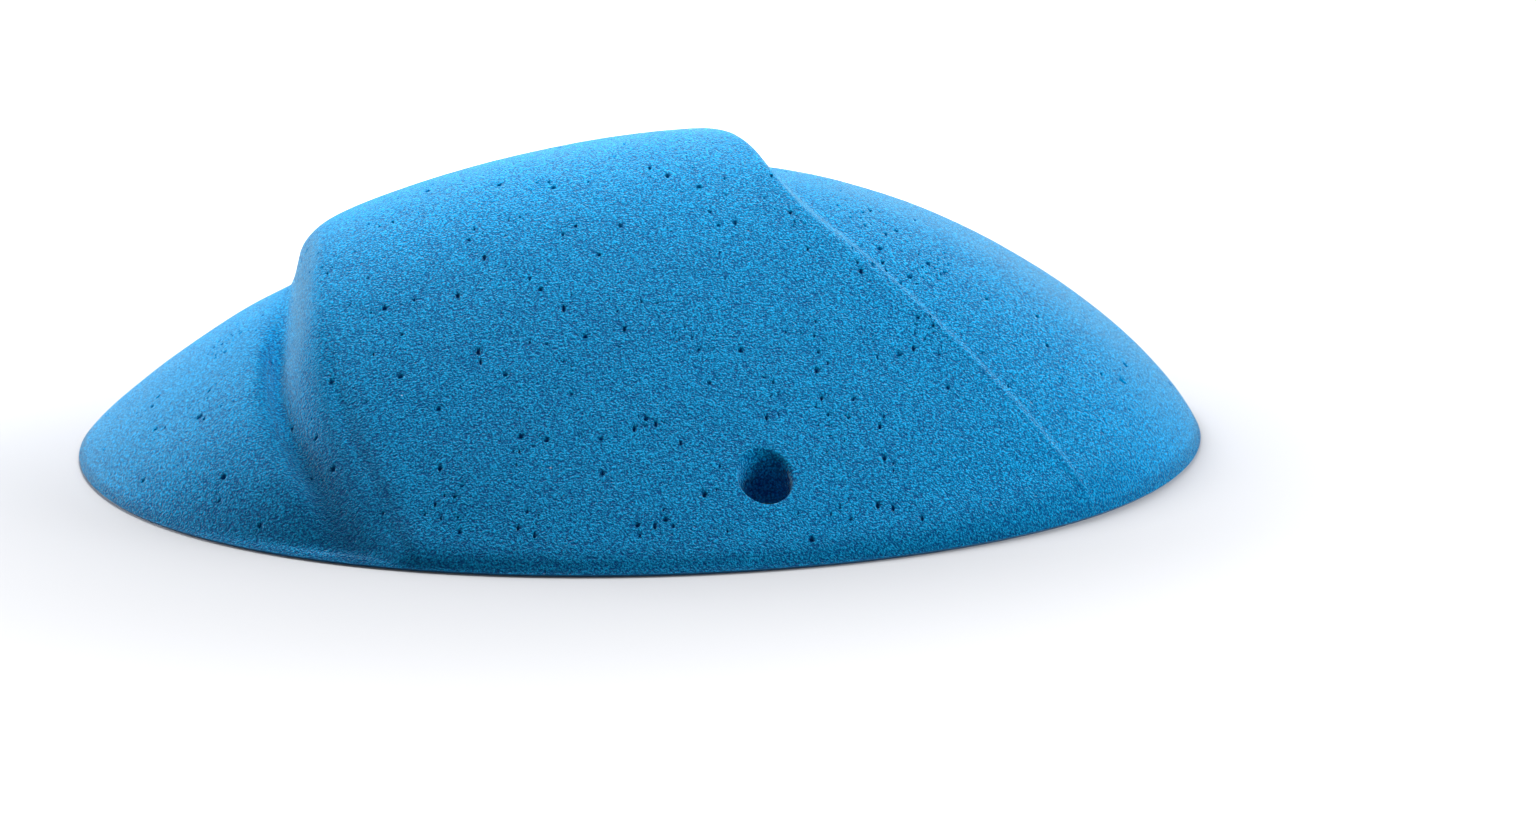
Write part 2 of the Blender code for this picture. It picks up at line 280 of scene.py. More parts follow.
    def panel_distances(self, x: np.ndarray,
                        y: np.ndarray) -> tuple[np.ndarray, np.ndarray, np.ndarray]:
        """Measure the distance inside the panel's right edge, left edge and lip.

        Args:
            x: Plan place along the hold.
            y: Plan place across the hold.

        Returns:
            The three distances.
        """
        right = smooth_max(self.distance_inside(x, y, self.right_knee, self.right_rear_heading),
                           self.distance_inside(x, y, self.right_knee, self.right_front_heading),
                           self.edge_bend)
        left = smooth_min(self.distance_inside(x, y, self.left_rear_point, self.left_rear_heading),
                          self.distance_inside(x, y, self.left_front_point, self.left_front_heading),
                          self.edge_bend)
        return right, left, self.distance_inside(x, y, self.lip_point, self.lip_heading)

    def panel_distance(self, x: np.ndarray, y: np.ndarray) -> np.ndarray:
        """Return the distance inside the panel's whole edge, with rounded corners."""
        right, left, lip = self.panel_distances(x, y)
        return smooth_min(smooth_min(right, left, self.corner_bend), lip, self.corner_bend)

    def edge_section(self, x: np.ndarray, y: np.ndarray) -> tuple[np.ndarray, np.ndarray, np.ndarray]:
        """Describe the panel's edge in section, which changes from side to side.

        Args:
            x: Plan place along the hold.
            y: Plan place across the hold.

        Returns:
            Edge radius, wall angle in radians and share of soft fillet.
        """
        to_front = ease(y, self.lip_point[1], self.left_front_point[1])
        to_right = ease(x, self.left_rear_point[0], self.right_knee[0])
        to_lip = ease(y, self.right_knee[1], self.lip_point[1])
        left_radius = mix(self.left_rear_radius, self.left_front_radius, to_front)
        left_angle = mix(self.left_rear_wall_angle, self.left_front_wall_angle, to_front)
        radius = mix(mix(left_radius, self.right_edge_radius, to_right), self.lip_radius, to_lip)
        angle = mix(mix(left_angle, self.right_wall_angle, to_right), self.lip_wall_angle, to_lip)
        return radius, np.radians(angle), to_front * (1.0 - to_right)

    def crest_inset(self, x: np.ndarray, y: np.ndarray) -> np.ndarray:
        """Return how far inside the panel's edge its rounding starts."""
        radius, angle, _ = self.edge_section(x, y)
        return radius * np.tan(angle / 2.0)

    def past_crest(self, x: np.ndarray, y: np.ndarray) -> np.ndarray:
        """Return the distance outward from where the panel's rounding starts."""
        return self.crest_inset(x, y) - self.panel_distance(x, y)

    def left_inset(self, x: np.ndarray, y: np.ndarray) -> np.ndarray:
        """Return the distance inward from where the left wall's rounding starts."""
        return self.panel_distances(x, y)[1] - self.crest_inset(x, y)

    def crown(self, share: np.ndarray) -> np.ndarray:
        """Shape a steep-rimmed cap.

        Args:
            share: Outline share of the point.

        Returns:
            1 in the middle and 0 on the outline.
        """
        rim = math.sqrt(self.rim_steepness ** 2 - 1.0)
        height = np.sqrt(self.rim_steepness ** 2 - np.clip(share, 0.0, 1.0)) - rim
        return height / (self.rim_steepness - rim)

    def crowns(self, share: np.ndarray, across: np.ndarray) -> tuple[np.ndarray, np.ndarray]:
        """Shape the dome and the panel's crown above it, before the slab is cut.

        Args:
            share: Outline share of the point.
            across: Place along the hold, from -1 to 1.

        Returns:
            Heights of the dome and of the panel.
        """
        cap = self.crown(share)
        lean = 1.0 + self.dome_lean * across - self.dome_end_drop * across ** 2
        dome = self.dome_height * cap * lean
        panel = (self.dome_height + self.panel_rise) * cap
        panel = panel * (1.0 + self.panel_lean * across + self.panel_end_lift * across ** 2)
        panel = dome + np.maximum(panel - dome, 0.0) * (1.0 - ease(share, *self.panel_fade))
        return dome, panel

    def slab_height(self, y: np.ndarray, across: np.ndarray, inset: float = 0.0) -> np.ndarray:
        """Give the height of the flat slab that rises from the front rim.

        Args:
            y: Plan place across the hold.
            across: Place along the hold, from -1 to 1.
            inset: Thickness taken off the slab.

        Returns:
            Height of the slab.
        """
        front_rim = self.width / 2.0 * np.sqrt(np.maximum(1.0 - self.slab_wrap * across ** 2, 0.0))
        slope = math.radians(self.slab_angle)
        return self.slab_foot + (y + front_rim) * math.tan(slope) - inset / math.cos(slope)

    def ground(self, x: np.ndarray, y: np.ndarray, inset: float = 0.0) -> np.ndarray:
        """Give the height of the dome and its valleys without the panel.

        Args:
            x: Plan place along the hold.
            y: Plan place across the hold.
            inset: Thickness taken off, for the hollow behind the shell.

        Returns:
            Height above the base edge.
        """
        share = self.outline_share(x, y)
        across = 2.0 * x / self.length
        right, left, lip = self.panel_distances(x, y)
        side_slab = self.slab_height(y, across, inset) + self.side_lift * np.maximum(-left, 0.0)
        rim_blend = mix(self.slab_rim_blend, self.side_rim_blend, ease(-left, -self.valley_reach, 0.0))
        blend = mix(self.side_blend, rim_blend, ease(share, self.panel_fade[0], 1.0))
        dome = smooth_min(side_slab, self.crowns(share, across)[0] - inset, blend)
        valley = hump(self.left_inset(x, y) + self.valley_offset, self.valley_reach)
        valley = valley * ease(y, *self.valley_rise)
        dome = dome * (1.0 - self.valley_depth * valley)
        beside = ease(smooth_min(right, left, self.corner_bend),
                      -self.finger_valley_runout, self.finger_valley_runout)
        fingers = hump(lip + self.finger_valley_offset, self.finger_valley_reach)
        return dome - self.finger_valley_depth * fingers * beside

    def panel_top(self, x: np.ndarray, y: np.ndarray) -> np.ndarray:
        """Give the height of the panel before its edges are shaped.

        Args:
            x: Plan place along the hold.
            y: Plan place across the hold.

        Returns:
            Height above the base edge.
        """
        share = self.outline_share(x, y)
        across = 2.0 * x / self.length
        blend = mix(self.panel_blend, self.slab_rim_blend, ease(share, self.panel_fade[0], 1.0))
        return smooth_min(self.slab_height(y, across), self.crowns(share, across)[1], blend)

    def relief(self, x: np.ndarray, y: np.ndarray) -> np.ndarray:
        """Give the height of the whole outside.

        Args:
            x: Plan place along the hold.
            y: Plan place across the hold.

        Returns:
            Height above the base edge.
        """
        dome = self.ground(x, y)
        groove = hump(self.left_inset(x, y) - self.groove_offset, self.groove_reach)
        groove = groove * ease(y, *self.groove_rise)
        groove = self.groove_depth * groove * (1.0 - ease(self.outline_share(x, y), *self.groove_fade))
        panel = self.panel_top(x, y) - groove

        radius, angle, soft = self.edge_section(x, y)
        past = self.past_crest(x, y)
        on_arc = np.clip(past, 0.0, radius * np.sin(angle))
        on_wall = np.maximum(past - radius * np.sin(angle), 0.0)
        drop = radius - np.sqrt(radius ** 2 - on_arc ** 2) + on_wall * np.tan(angle)
        foot_share = mix(self.least_blend, 1.0, ease(past, 0.0, self.blend_run_in))
        walled = smooth_max(dome, panel - drop, self.wall_foot_blend * foot_share)
        fall = smooth_max(past, 0.0, self.left_crest_rounding) / self.left_fillet_width
        filleted = dome + np.maximum(panel - dome, 0.0) * np.clip(1.0 - fall, 0.0, 1.0) ** 2
        return mix(walled, filleted, soft)

    def crest_wear_and_highlight_mask(self, x: np.ndarray, y: np.ndarray) -> np.ndarray:
        """Mark the band where the panel's crest stands proud, which wears first and also gets a painted
        highlight, from 0 to 1.
        """
        proud = ease(self.panel_top(x, y) - self.ground(x, y), 0.0, self.crest_least_rise)
        return hump(self.past_crest(x, y) - self.crest_offset, self.crest_wear_and_highlight_reach) * proud

    def painted_shade_mask(self, x: np.ndarray, y: np.ndarray) -> np.ndarray:
        """Mark where shade is painted into the colour: beside and on the panel's left wall, in the groove,
        on the rim and low on the front.

        Args:
            x: Plan place along the hold.
            y: Plan place across the hold.

        Returns:
            Share of painted shade.
        """
        share, inside = self.outline_share(x, y), self.left_inset(x, y)
        low = ease(y, *self.painted_shade_rise)
        valley = self.valley_painted_shade * hump(inside + self.valley_offset, self.valley_painted_shade_reach) * low
        groove = self.groove_painted_shade * hump(inside - self.groove_offset, self.groove_reach) * low
        wall = self.wall_painted_shade * hump(inside + self.left_rear_radius / 2.0, self.wall_painted_shade_reach)
        wall = wall * ease(y, *self.wall_painted_shade_fade)
        rim = self.rim_painted_shade * ease(share, *self.rim_painted_shade_band)
        front = self.front_painted_shade * ease(share, *self.front_painted_shade_band) * low
        return np.maximum.reduce([valley, groove, wall, rim, front])


class Side(Enum):
    """Which of the hold's two bolt fixings."""

    FRONT = "front"
    REAR = "rear"


@dataclass
class BoltFixing:
    """A recessed bolt hole with a boss behind it and a steel washer cast into its floor."""

    side: Side
    x: float
    y: float
    seat_height: float
    bolt_bore: float = 0.011
    counterbore: float = 0.018
    washer_bore: float = 0.0105
    washer_diameter: float = 0.027
    washer_thickness: float = 0.0025
    cast_gap: float = 0.0003
    boss_wall: float = 0.0065
    crisp_rounding: float = 0.0004
    soft_rounding: float = 0.0016
    soft_heading: float = 50.0
    steps: int = 96

    def circle(self, radius: float | np.ndarray) -> np.ndarray:
        """Return plan points round the fixing, at one radius or at one for each step."""
        turn = around(self.steps)
        return np.column_stack([self.x + radius * np.cos(turn), self.y + radius * np.sin(turn)])

    def mouth_rounding(self) -> np.ndarray:
        """Return the rounding radius of the mouth at each step; one side is crisper."""
        softness = 0.5 + 0.5 * np.cos(around(self.steps) - math.radians(self.soft_heading))
        return mix(self.crisp_rounding, self.soft_rounding, softness)

    def boss_radius(self) -> float:
        """Return the radius of the boss that holds the washer."""
        return self.washer_diameter / 2.0 + self.cast_gap + self.boss_wall

    def distance(self, x: np.ndarray, y: np.ndarray) -> np.ndarray:
        """Return the distance from the bolt's axis in plan."""
        return np.hypot(x - self.x, y - self.y)


@dataclass(frozen=True)
class HolePlan:
    """Where a bolt hole goes: along the hold, in from its front or rear edge, and how high."""

    side: Side
    along: float
    edge_inset: float
    seat_height: float

    def fixing(self, form: HoldForm) -> BoltFixing:
        """Return the bolt fixing at this place on the hold."""
        across = form.width / 2.0 - self.edge_inset
        return BoltFixing(self.side, self.along, -across if self.side is Side.FRONT else across,
                          self.seat_height)


HOLES = (HolePlan(Side.FRONT, along=0.0291, edge_inset=0.0307, seat_height=0.008),
         HolePlan(Side.REAR, along=-0.030, edge_inset=0.055, seat_height=0.022))


@dataclass
class PinholeField:
    """Small pits left by air bubbles, scattered over the outside of the casting."""

    count: int = 600
    smallest: float = 0.00030
    largest: float = 0.00100
    apart: float = 0.0003
    usual_density: float = 0.36
    dense_place: tuple[float, float] = (0.03, -0.07)
    dense_reach: tuple[float, float] = (0.12, 0.07)
    size_power: float = 2.2
    clustered: float = 0.38
    cluster_reach: tuple[float, float] = (0.0010, 0.0060)
    rim_limit: float = 0.95
    hole_margin: float = 0.004
    depth_share: float = 1.5
    seed: int = 11
    ring_shares: tuple[float, ...] = (0.45, 0.80, 1.0, 1.3)
    ring_drops: tuple[float, ...] = (0.92, 0.62, 0.22, 0.0)
    ring_points: int = 9
    largest_stretch: float = 1.35
    squash: float = 0.22
    squash_pitch: float = 2.7
    wobble: float = 0.08
    wobble_lobes: float = 3.0
    places: np.ndarray = field(init=False)
    radii: np.ndarray = field(init=False)

    def scatter(self, form: HoldForm, fixings: list[BoltFixing]) -> None:
        """Choose the place and radius of each pit.

        Args:
            form: The hold's outside.
            fixings: The bolt holes, which the pits keep clear of.
        """
        draw = np.random.default_rng(self.seed)
        room = self.ring_shares[-1] * self.largest_stretch
        places: list[tuple[float, float]] = []
        radii: list[float] = []
        while len(places) < self.count:
            x = draw.uniform(-form.length / 2.0, form.length / 2.0)
            y = draw.uniform(-form.width / 2.0, form.width / 2.0)
            wanted = self.density(x, y)
            size = self.smallest + (self.largest - self.smallest) * draw.uniform() ** self.size_power
            if places and draw.uniform() < self.clustered:
                near = places[int(draw.integers(len(places)))]
                turn, reach = draw.uniform(0.0, 2.0 * math.pi), draw.uniform(*self.cluster_reach)
                x, y, wanted = near[0] + reach * math.cos(turn), near[1] + reach * math.sin(turn), 1.0
            if draw.uniform() > wanted or form.outline_share(x, y) > self.rim_limit:
                continue
            if any(fixing.distance(x, y) < fixing.counterbore / 2.0 + self.hole_margin
                   for fixing in fixings):
                continue
            if any(math.hypot(x - px, y - py) < room * (size + other) + self.apart
                   for (px, py), other in zip(places, radii)):
                continue
            places.append((x, y))
            radii.append(size)
        self.places = np.array(places)
        self.radii = np.array(radii)

    def density(self, x: float, y: float) -> float:
        """Tell how likely a pit is, which is most on the lower right of the panel.

        Args:
            x: Plan place along the hold.
            y: Plan place across the hold.

        Returns:
            Chance that a pit drawn there is kept.
        """
        away = -((x - self.dense_place[0]) / self.dense_reach[0]) ** 2
        away -= ((y - self.dense_place[1]) / self.dense_reach[1]) ** 2
        return self.usual_density + (1.0 - self.usual_density) * math.exp(away)

    def clear_of(self, points: np.ndarray, margin: float) -> np.ndarray:
        """Find the points that lie outside every pit.

        Args:
            points: Plan points.
            margin: How far outside a pit's last ring a point has to be.

        Returns:
            True for each point that is clear.
        """
        keep = np.ones(len(points), bool)
        for place, radius in zip(self.places, self.radii):
            near = np.hypot(points[:, 0] - place[0], points[:, 1] - place[1])
            keep &= near > radius * self.ring_shares[-1] + margin
        return keep

    def pit_points(self) -> tuple[np.ndarray, np.ndarray, np.ndarray]:
        """Build the points of all pits.

        Returns:
            Plan points, how far each lies below the outside, and its depth share.
        """
        turn = around(self.ring_points)
        plan, drops, shares = [], [], []
        for index, (place, radius) in enumerate(zip(self.places, self.radii)):
            squash = 1.0 + self.squash * math.sin(self.squash_pitch * index)
            plan.append(place[None, :])
            drops.append([radius * self.depth_share])
            shares.append([1.0])
            for share, drop in zip(self.ring_shares, self.ring_drops):
                wave = 1.0 + self.wobble * np.sin(self.wobble_lobes * turn + index)
                wobble = radius * share * wave
                plan.append(place + np.column_stack([wobble * squash * np.cos(turn + index),
                                                     wobble / squash * np.sin(turn + index)]))
                drops.append([radius * self.depth_share * drop] * self.ring_points)
                shares.append([drop] * self.ring_points)
        return np.vstack(plan), np.concatenate(drops), np.concatenate(shares)


@dataclass
class Unevenness:
    """Slow waves in the cast surface, as a sum of crossing ripples."""

    lengths: tuple[float, ...] = (0.034, 0.019, 0.0105, 0.0062)
    heights: tuple[float, ...] = (0.00022, 0.00015, 0.00009, 0.00006)
    length_spread: tuple[float, float] = (0.8, 1.25)
    bend: float = 0.6
    bend_pitch: float = 0.37
    ripples: int = 5
    seed: int = 5

    def depth(self, x: np.ndarray, y: np.ndarray) -> np.ndarray:
        """Give how far the surface lies below its full height.

        Args:
            x: Plan place along the hold.
            y: Plan place across the hold.

        Returns:
            Depth, never negative.
        """
        draw = np.random.default_rng(self.seed)
        total = np.zeros_like(x)
        for length, height in zip(self.lengths, self.heights):
            for _ in range(self.ripples):
                heading = draw.uniform(0.0, 2.0 * math.pi)
                wave = 2.0 * math.pi / (length * draw.uniform(*self.length_spread))
                phase = draw.uniform(0.0, 2.0 * math.pi)
                along = x * math.cos(heading) + y * math.sin(heading)
                aside = y * math.cos(heading) - x * math.sin(heading)
                bend = self.bend * np.sin(self.bend_pitch * wave * aside + 2.0 * phase)
                total += height * (1.0 + np.sin(wave * along + phase + bend)) / (2.0 * self.ripples)
        return total


@dataclass
class ResinCasting:
    """The cast shell with its bolt holes and hollow back, as one closed fine mesh."""

    form: HoldForm
    fixings: list[BoltFixing]
    pinholes: PinholeField = field(default_factory=PinholeField)
    unevenness: Unevenness = field(default_factory=Unevenness)
    node: str = "hold_body"
    name: str = "resin_casting"
    outline_points: int = 720
    rim_rings: tuple[float, ...] = (0.0004, 0.0010, 0.0018, 0.0028, 0.0040, 0.0054)
    spacing: float = 0.00152
    crest_band: float = 0.0055
    rim_gap: float = 0.6
    mouth_gap: float = 0.5
    pit_gap: float = 0.0004
    merge_distance: float = 1e-7
    mouth_shares: tuple[float, ...] = (0.0, 0.05, 0.18, 0.40, 0.70, 1.0)
    bore_rings: int = 18
    bore_ripple: float = 0.00008
    ripple_lobes: float = 3.0
    ripple_twist: float = 9.0
    bore_shade: tuple[float, float] = (0.10, 0.38)
    bore_shade_run_in: float = 0.06
    under_spacing: float = 0.0034
    under_gap: float = 0.004
    under_bore_gap: float = 0.0018
    wall_ring_points: int = 420
    wall_ring_gap: float = 0.0002
    wall_ring_limit: float = 0.998
    wall_band_margin: float = 0.001
    wall_offsets: tuple[float, ...] = (-0.0008, 0.0, 0.0006, 0.0014, 0.0024, 0.0038, 0.0056)
    wall_slope: float = 11.0
    foot_rounding: float = 0.0008
    ceiling_waves: float = 0.5
    ceiling_fillet: float = 0.006
    least_ceiling: float = 0.0002
    hollow_core: float = 0.2
    least_slope: float = 1e-3
    sharp_angle: float = 48.0
    verts: list[np.ndarray] = field(default_factory=list)
    faces: list[tuple[int, ...]] = field(default_factory=list)
    backs: list[bool] = field(default_factory=list)
    pit_shares: list[np.ndarray] = field(default_factory=list)
    vert_count: int = 0

    def add_points(self, points: np.ndarray, pits: np.ndarray | None = None) -> int:
        """Add points to the casting.

        Args:
            points: Points in space.
            pits: Depth share of each in a pit or bore, which the finish turns into painted shade, if any
                lies in one.

        Returns:
            Index of the first one.
        """
        first = self.vert_count
        self.verts.append(points)
        self.pit_shares.append(np.zeros(len(points)) if pits is None else pits)
        self.vert_count += len(points)
        return first

    def add_faces(self, faces: list[tuple[int, ...]], back: bool) -> None:
        """Add faces, anticlockwise from outside; back marks the wall side, with its plainer finish."""
        self.faces += faces
        self.backs += [back] * len(faces)

    def add_band(self, upper: int, lower: int, count: int, back: bool, inward: bool) -> None:
        """Join two rings of points with a band of faces.

        Args:
            upper: Index of the upper ring's first point.
            lower: Index of the lower ring's first point.
            count: Number of points in each.
            back: True on the wall side.
            inward: True if the band faces the ring's middle, as a bore does.
        """
        band = []
        for index in range(count):
            after = (index + 1) % count
            quad = (upper + index, lower + index, lower + after, upper + after)
            band.append(quad[::-1] if inward else quad)
        self.add_faces(band, back)

    def deepen(self, upper: int, points: np.ndarray, back: bool, pits: np.ndarray | None = None) -> int:
        """Carry a bore one ring deeper.

        Args:
            upper: Index of the first point of the ring above.
            points: Points of the new ring.
            back: True for the wall side's finish.
            pits: Depth share of each point in a pit or bore, which the finish turns into painted shade, if
                any lies in one.

        Returns:
            Index of the new ring's first point.
        """
        lower = self.add_points(points, pits)
        self.add_band(upper, lower, len(points), back, True)
        return lower

    def lattice(self, spacing: float) -> np.ndarray:
        """Lay an even triangular lattice over the footprint.

        Args:
            spacing: Distance between its points.

        Returns:
            Plan points.
        """
        rows = int(self.form.width / (spacing * math.sqrt(0.75))) // 2 + 1
        columns = int(self.form.length / spacing) // 2 + 2
        row, column = np.mgrid[-rows:rows + 1, -columns:columns + 1]
        x = spacing * (column + 0.5 * (row % 2))
        return np.column_stack([x.ravel(), (spacing * math.sqrt(0.75) * row).ravel()])

    def near_crest(self, plan: np.ndarray) -> np.ndarray:
        """Tell which plan points lie in the band along the panel's crest."""
        past = self.form.past_crest(plan[:, 0], plan[:, 1])
        return np.abs(past - self.form.crest_offset) < self.crest_band

    def outer_plan(self) -> np.ndarray:
        """Lay the lattice of the outside, twice as fine along the panel's crest.

        Returns:
            Plan points clear of the rim rings, the pits and the bolt holes.
        """
        coarse, fine = self.lattice(self.spacing), self.lattice(self.spacing / 2.0)
        points = np.vstack([coarse[~self.near_crest(coarse)], fine[self.near_crest(fine)]])
        inner_ring = self.rim_rings[-1] + self.rim_gap * self.spacing
        inside = self.form.outline_share(points[:, 0], points[:, 1], inner_ring) < 1.0
        for fixing in self.fixings:
            mouth = fixing.counterbore / 2.0 + fixing.soft_rounding + self.mouth_gap * self.spacing
            inside &= fixing.distance(points[:, 0], points[:, 1]) > mouth
        points = points[inside]
        return points[self.pinholes.clear_of(points, self.pit_gap)]

    def outside_height(self, x: np.ndarray, y: np.ndarray) -> np.ndarray:
        """Give the height of the outside with its slow waves, which fade at the rim.

        Args:
            x: Plan place along the hold.
            y: Plan place across the hold.

        Returns:
            Height above the wall plane.
        """
        form = self.form
        share = form.outline_share(x, y)
        setback = (1.0 - np.sqrt(np.clip(share, 0.0, 1.0))) * form.width / 2.0
        foot = form.rim_slope * np.minimum(setback, form.rim_foot_reach)
        smooth = smooth_max(form.relief(x, y), foot, form.rim_foot_blend)
        waves = self.unevenness.depth(x, y) * (1.0 - ease(share, *form.wave_fade))
        return form.base_chamfer + np.maximum(smooth - waves, 0.0)

    def triangles(self, plan: np.ndarray, first: int, holes: list[tuple[BoltFixing, float]],
                  downward: bool) -> list[tuple[int, ...]]:
        """Join plan points with triangles, leaving the bolt holes open.

        Args:
            plan: Plan points.
            first: Index of the first of them in the casting.
            holes: Fixings with the radius of the ring that bounds each hole.
            downward: True if the faces look at the wall.

        Returns:
            The triangles.
        """
        places = [Vector(point) for point in plan.tolist()]
        corners = np.array(delaunay_2d_cdt(places, [], [], 0, self.merge_distance)[2])
        middles = plan[corners].mean(axis=1)
        keep = np.ones(len(corners), bool)
        for fixing, radius in holes:
            least = radius * math.cos(math.pi / fixing.steps)
            keep &= fixing.distance(middles[:, 0], middles[:, 1]) > least
        corners = corners[keep] + first
        if downward:
            corners = corners[:, ::-1]
        return [tuple(corner) for corner in corners.tolist()]

    def build_outside(self) -> tuple[int, dict[Side, int]]:
        """Build the outside: rim rings, lattice, pits and the rounded mouths of the bolt holes.

        Returns:
            Index of the outline's first point, and of each mouth's innermost ring.
        """
        form = self.form
        rings = [form.outline_ring(setback, self.outline_points) for setback in (0.0, *self.rim_rings)]
        plan = np.vstack([*rings, self.outer_plan()])
        heights = self.outside_height(plan[:, 0], plan[:, 1])
        heights[:self.outline_points] = form.base_chamfer
        pit_plan, pit_drops, pit_shares = self.pinholes.pit_points()
        pit_heights = self.outside_height(pit_plan[:, 0], pit_plan[:, 1]) - pit_drops
        parts = [(plan, heights, np.zeros(len(plan))), (pit_plan, pit_heights, pit_shares)]
        mouths: dict[Side, int] = {}
        for fixing in self.fixings:
            rounding = fixing.mouth_rounding()
            mouths[fixing.side] = self.vert_count + sum(len(part[0]) for part in parts)
            for share in self.mouth_shares:
                ring = fixing.circle(fixing.counterbore / 2.0 + rounding * share)
                drop = rounding * (1.0 - np.sqrt(1.0 - (1.0 - share) ** 2))
                level = self.outside_height(ring[:, 0], ring[:, 1]) - drop
                parts.append((ring, level, np.zeros(fixing.steps)))
        plan, heights, pits = (np.concatenate(part) for part in zip(*parts))
        first = self.add_points(np.column_stack([plan, heights]), pits)
        holes = [(fixing, fixing.counterbore / 2.0) for fixing in self.fixings]
        self.add_faces(self.triangles(plan, first, holes, False), False)
        return first, mouths

    def build_bore(self, fixing: BoltFixing, mouth: int) -> int:
        """Build a counterbore's wall, the washer's pocket and the bolt's bore.

        Args:
            fixing: The bolt fixing.
            mouth: Index of the mouth's innermost ring.

        Returns:
            Index of the bore's ring on the wall plane.
        """
        top = np.vstack(self.verts)[mouth:mouth + fixing.steps, 2]
        pocket_top = fixing.seat_height + fixing.washer_thickness + fixing.cast_gap
        pocket_floor = fixing.seat_height - fixing.cast_gap
        turn = around(fixing.steps)
        ring = mouth
        for step in range(1, self.bore_rings + 1):
            share = step / self.bore_rings
            ripple = self.bore_ripple * np.sin(self.ripple_lobes * turn + self.ripple_twist * share)
            reach = fixing.counterbore / 2.0 + ripple * math.sin(math.pi * share)
            points = np.column_stack([fixing.circle(reach), mix(top, pocket_top, share)])
            # Painted shade down the counterbore's wall: the share grows with depth and the finish darkens
            # by it.
            shade = self.bore_shade[0] * min(share / self.bore_shade_run_in, 1.0)
            shades = np.full(fixing.steps, shade + self.bore_shade[1] * share)
            ring = self.deepen(ring, points, False, shades)
        pocket, bolt = fixing.washer_diameter / 2.0 + fixing.cast_gap, fixing.bolt_bore / 2.0
        steps = ((pocket, pocket_top), (pocket, pocket_floor), (bolt, pocket_floor), (bolt, 0.0))
        for radius, height in steps:
            points = np.column_stack([fixing.circle(radius), np.full(fixing.steps, height)])
            ring = self.deepen(ring, points, True)
        return ring

    def hollow_depth(self, x: np.ndarray, y: np.ndarray) -> np.ndarray:
        """Measure the distance inside the hollow's mouth, clear of the bosses.

        Args:
            x: Plan place along the hold.
            y: Plan place across the hold.

        Returns:
            Distance, negative on the rim and on the bosses.
        """
        form = self.form
        half_length = form.length / 2.0 - form.rim_width
        half_width = form.width / 2.0 - form.rim_width
        share = form.outline_share(x, y, form.rim_width)
        slope_x = 2.0 * x / half_length ** 2 * (1.0 - form.outline_fullness * (y / half_width) ** 2)
        slope_y = 2.0 * y / half_width ** 2 * (1.0 - form.outline_fullness * (x / half_length) ** 2)
        size = np.sqrt(share)
        depth = (1.0 - size) * 2.0 * size / np.maximum(np.hypot(slope_x, slope_y), self.least_slope)
        depth = np.where(share < self.hollow_core, half_width / 2.0, depth)
        for fixing in self.fixings:
            depth = np.minimum(depth, fixing.distance(x, y) - fixing.boss_radius())
        return depth

    def under_height(self, x: np.ndarray, y: np.ndarray) -> np.ndarray:
        """Give the height of the wall side: flat on the rim and bosses, hollow between them.

        Args:
            x: Plan place along the hold.
            y: Plan place across the hold.

        Returns:
            Height above the wall plane.
        """
        form = self.form
        depth = self.hollow_depth(x, y)
        wall = self.wall_slope * smooth_max(depth, 0.0, self.foot_rounding)
        ceiling = form.base_chamfer + form.ground(x, y, form.shell_wall)
        ceiling = ceiling - self.ceiling_waves * self.unevenness.depth(y, x)
        fillet = np.minimum(self.ceiling_fillet, 0.5 * np.maximum(ceiling, self.least_ceiling))
        return np.maximum(smooth_min(wall, ceiling, fillet), 0.0)

    def under_plan(self, foot_setback: float) -> np.ndarray:
        """Lay the points of the wall side, with rings along the hollow's walls.

        Args:
            foot_setback: Setback of the base's outer edge.

        Returns:
            Plan points inside the base's outer edge, clear of the bores.
        """
        form = self.form
        rings = []
        for offset in self.wall_offsets:
            ring = form.outline_ring(form.rim_width + offset, self.wall_ring_points)
            for fixing in self.fixings:
                boss = fixing.boss_radius() + offset
                ring = ring[fixing.distance(ring[:, 0], ring[:, 1]) > boss - self.wall_ring_gap]
            rings.append(ring)
            for fixing in self.fixings:
                ring = fixing.circle(fixing.boss_radius() + offset)
                share = form.outline_share(ring[:, 0], ring[:, 1], form.rim_width + offset)
                rings.append(ring[share < self.wall_ring_limit])
        lattice = self.lattice(self.under_spacing)
        inside = form.outline_share(lattice[:, 0], lattice[:, 1], foot_setback + self.under_gap) < 1.0
        depth = self.hollow_depth(lattice[:, 0], lattice[:, 1])
        band = depth > self.wall_offsets[0] - self.wall_band_margin
        band &= depth < self.wall_offsets[-1] + self.wall_band_margin
        points = np.vstack([*rings, lattice[inside & ~band]])
        for fixing in self.fixings:
            near = fixing.distance(points[:, 0], points[:, 1])
            points = points[near > fixing.bolt_bore / 2.0 + self.under_bore_gap]
        return points

    def build_underside(self, outline: int, bores: dict[Side, int]) -> None:
        """Build the base's chamfer and rim, and the hollow with its bosses.

        Args:
            outline: Index of the outline's first point.
            bores: Index of each bore's ring on the wall plane.
        """
        form = self.form
        foot = form.outline_ring(form.base_chamfer, self.outline_points)
        inner = self.under_plan(form.base_chamfer)
        plan = np.vstack([foot, inner])
        heights = self.under_height(plan[:, 0], plan[:, 1])
        heights[:self.outline_points] = 0.0
        first = self.add_points(np.column_stack([plan, heights]))
        self.add_band(outline, first, self.outline_points, True, False)
        all_plan, indexes = [plan], [np.arange(first, first + len(plan))]
        for fixing in self.fixings:
            all_plan.append(fixing.circle(fixing.bolt_bore / 2.0))
            indexes.append(np.arange(bores[fixing.side], bores[fixing.side] + fixing.steps))
        holes = [(fixing, fixing.bolt_bore / 2.0) for fixing in self.fixings]
        found = np.array(self.triangles(np.vstack(all_plan), 0, holes, True))
        self.add_faces([tuple(corner) for corner in np.concatenate(indexes)[found].tolist()], True)

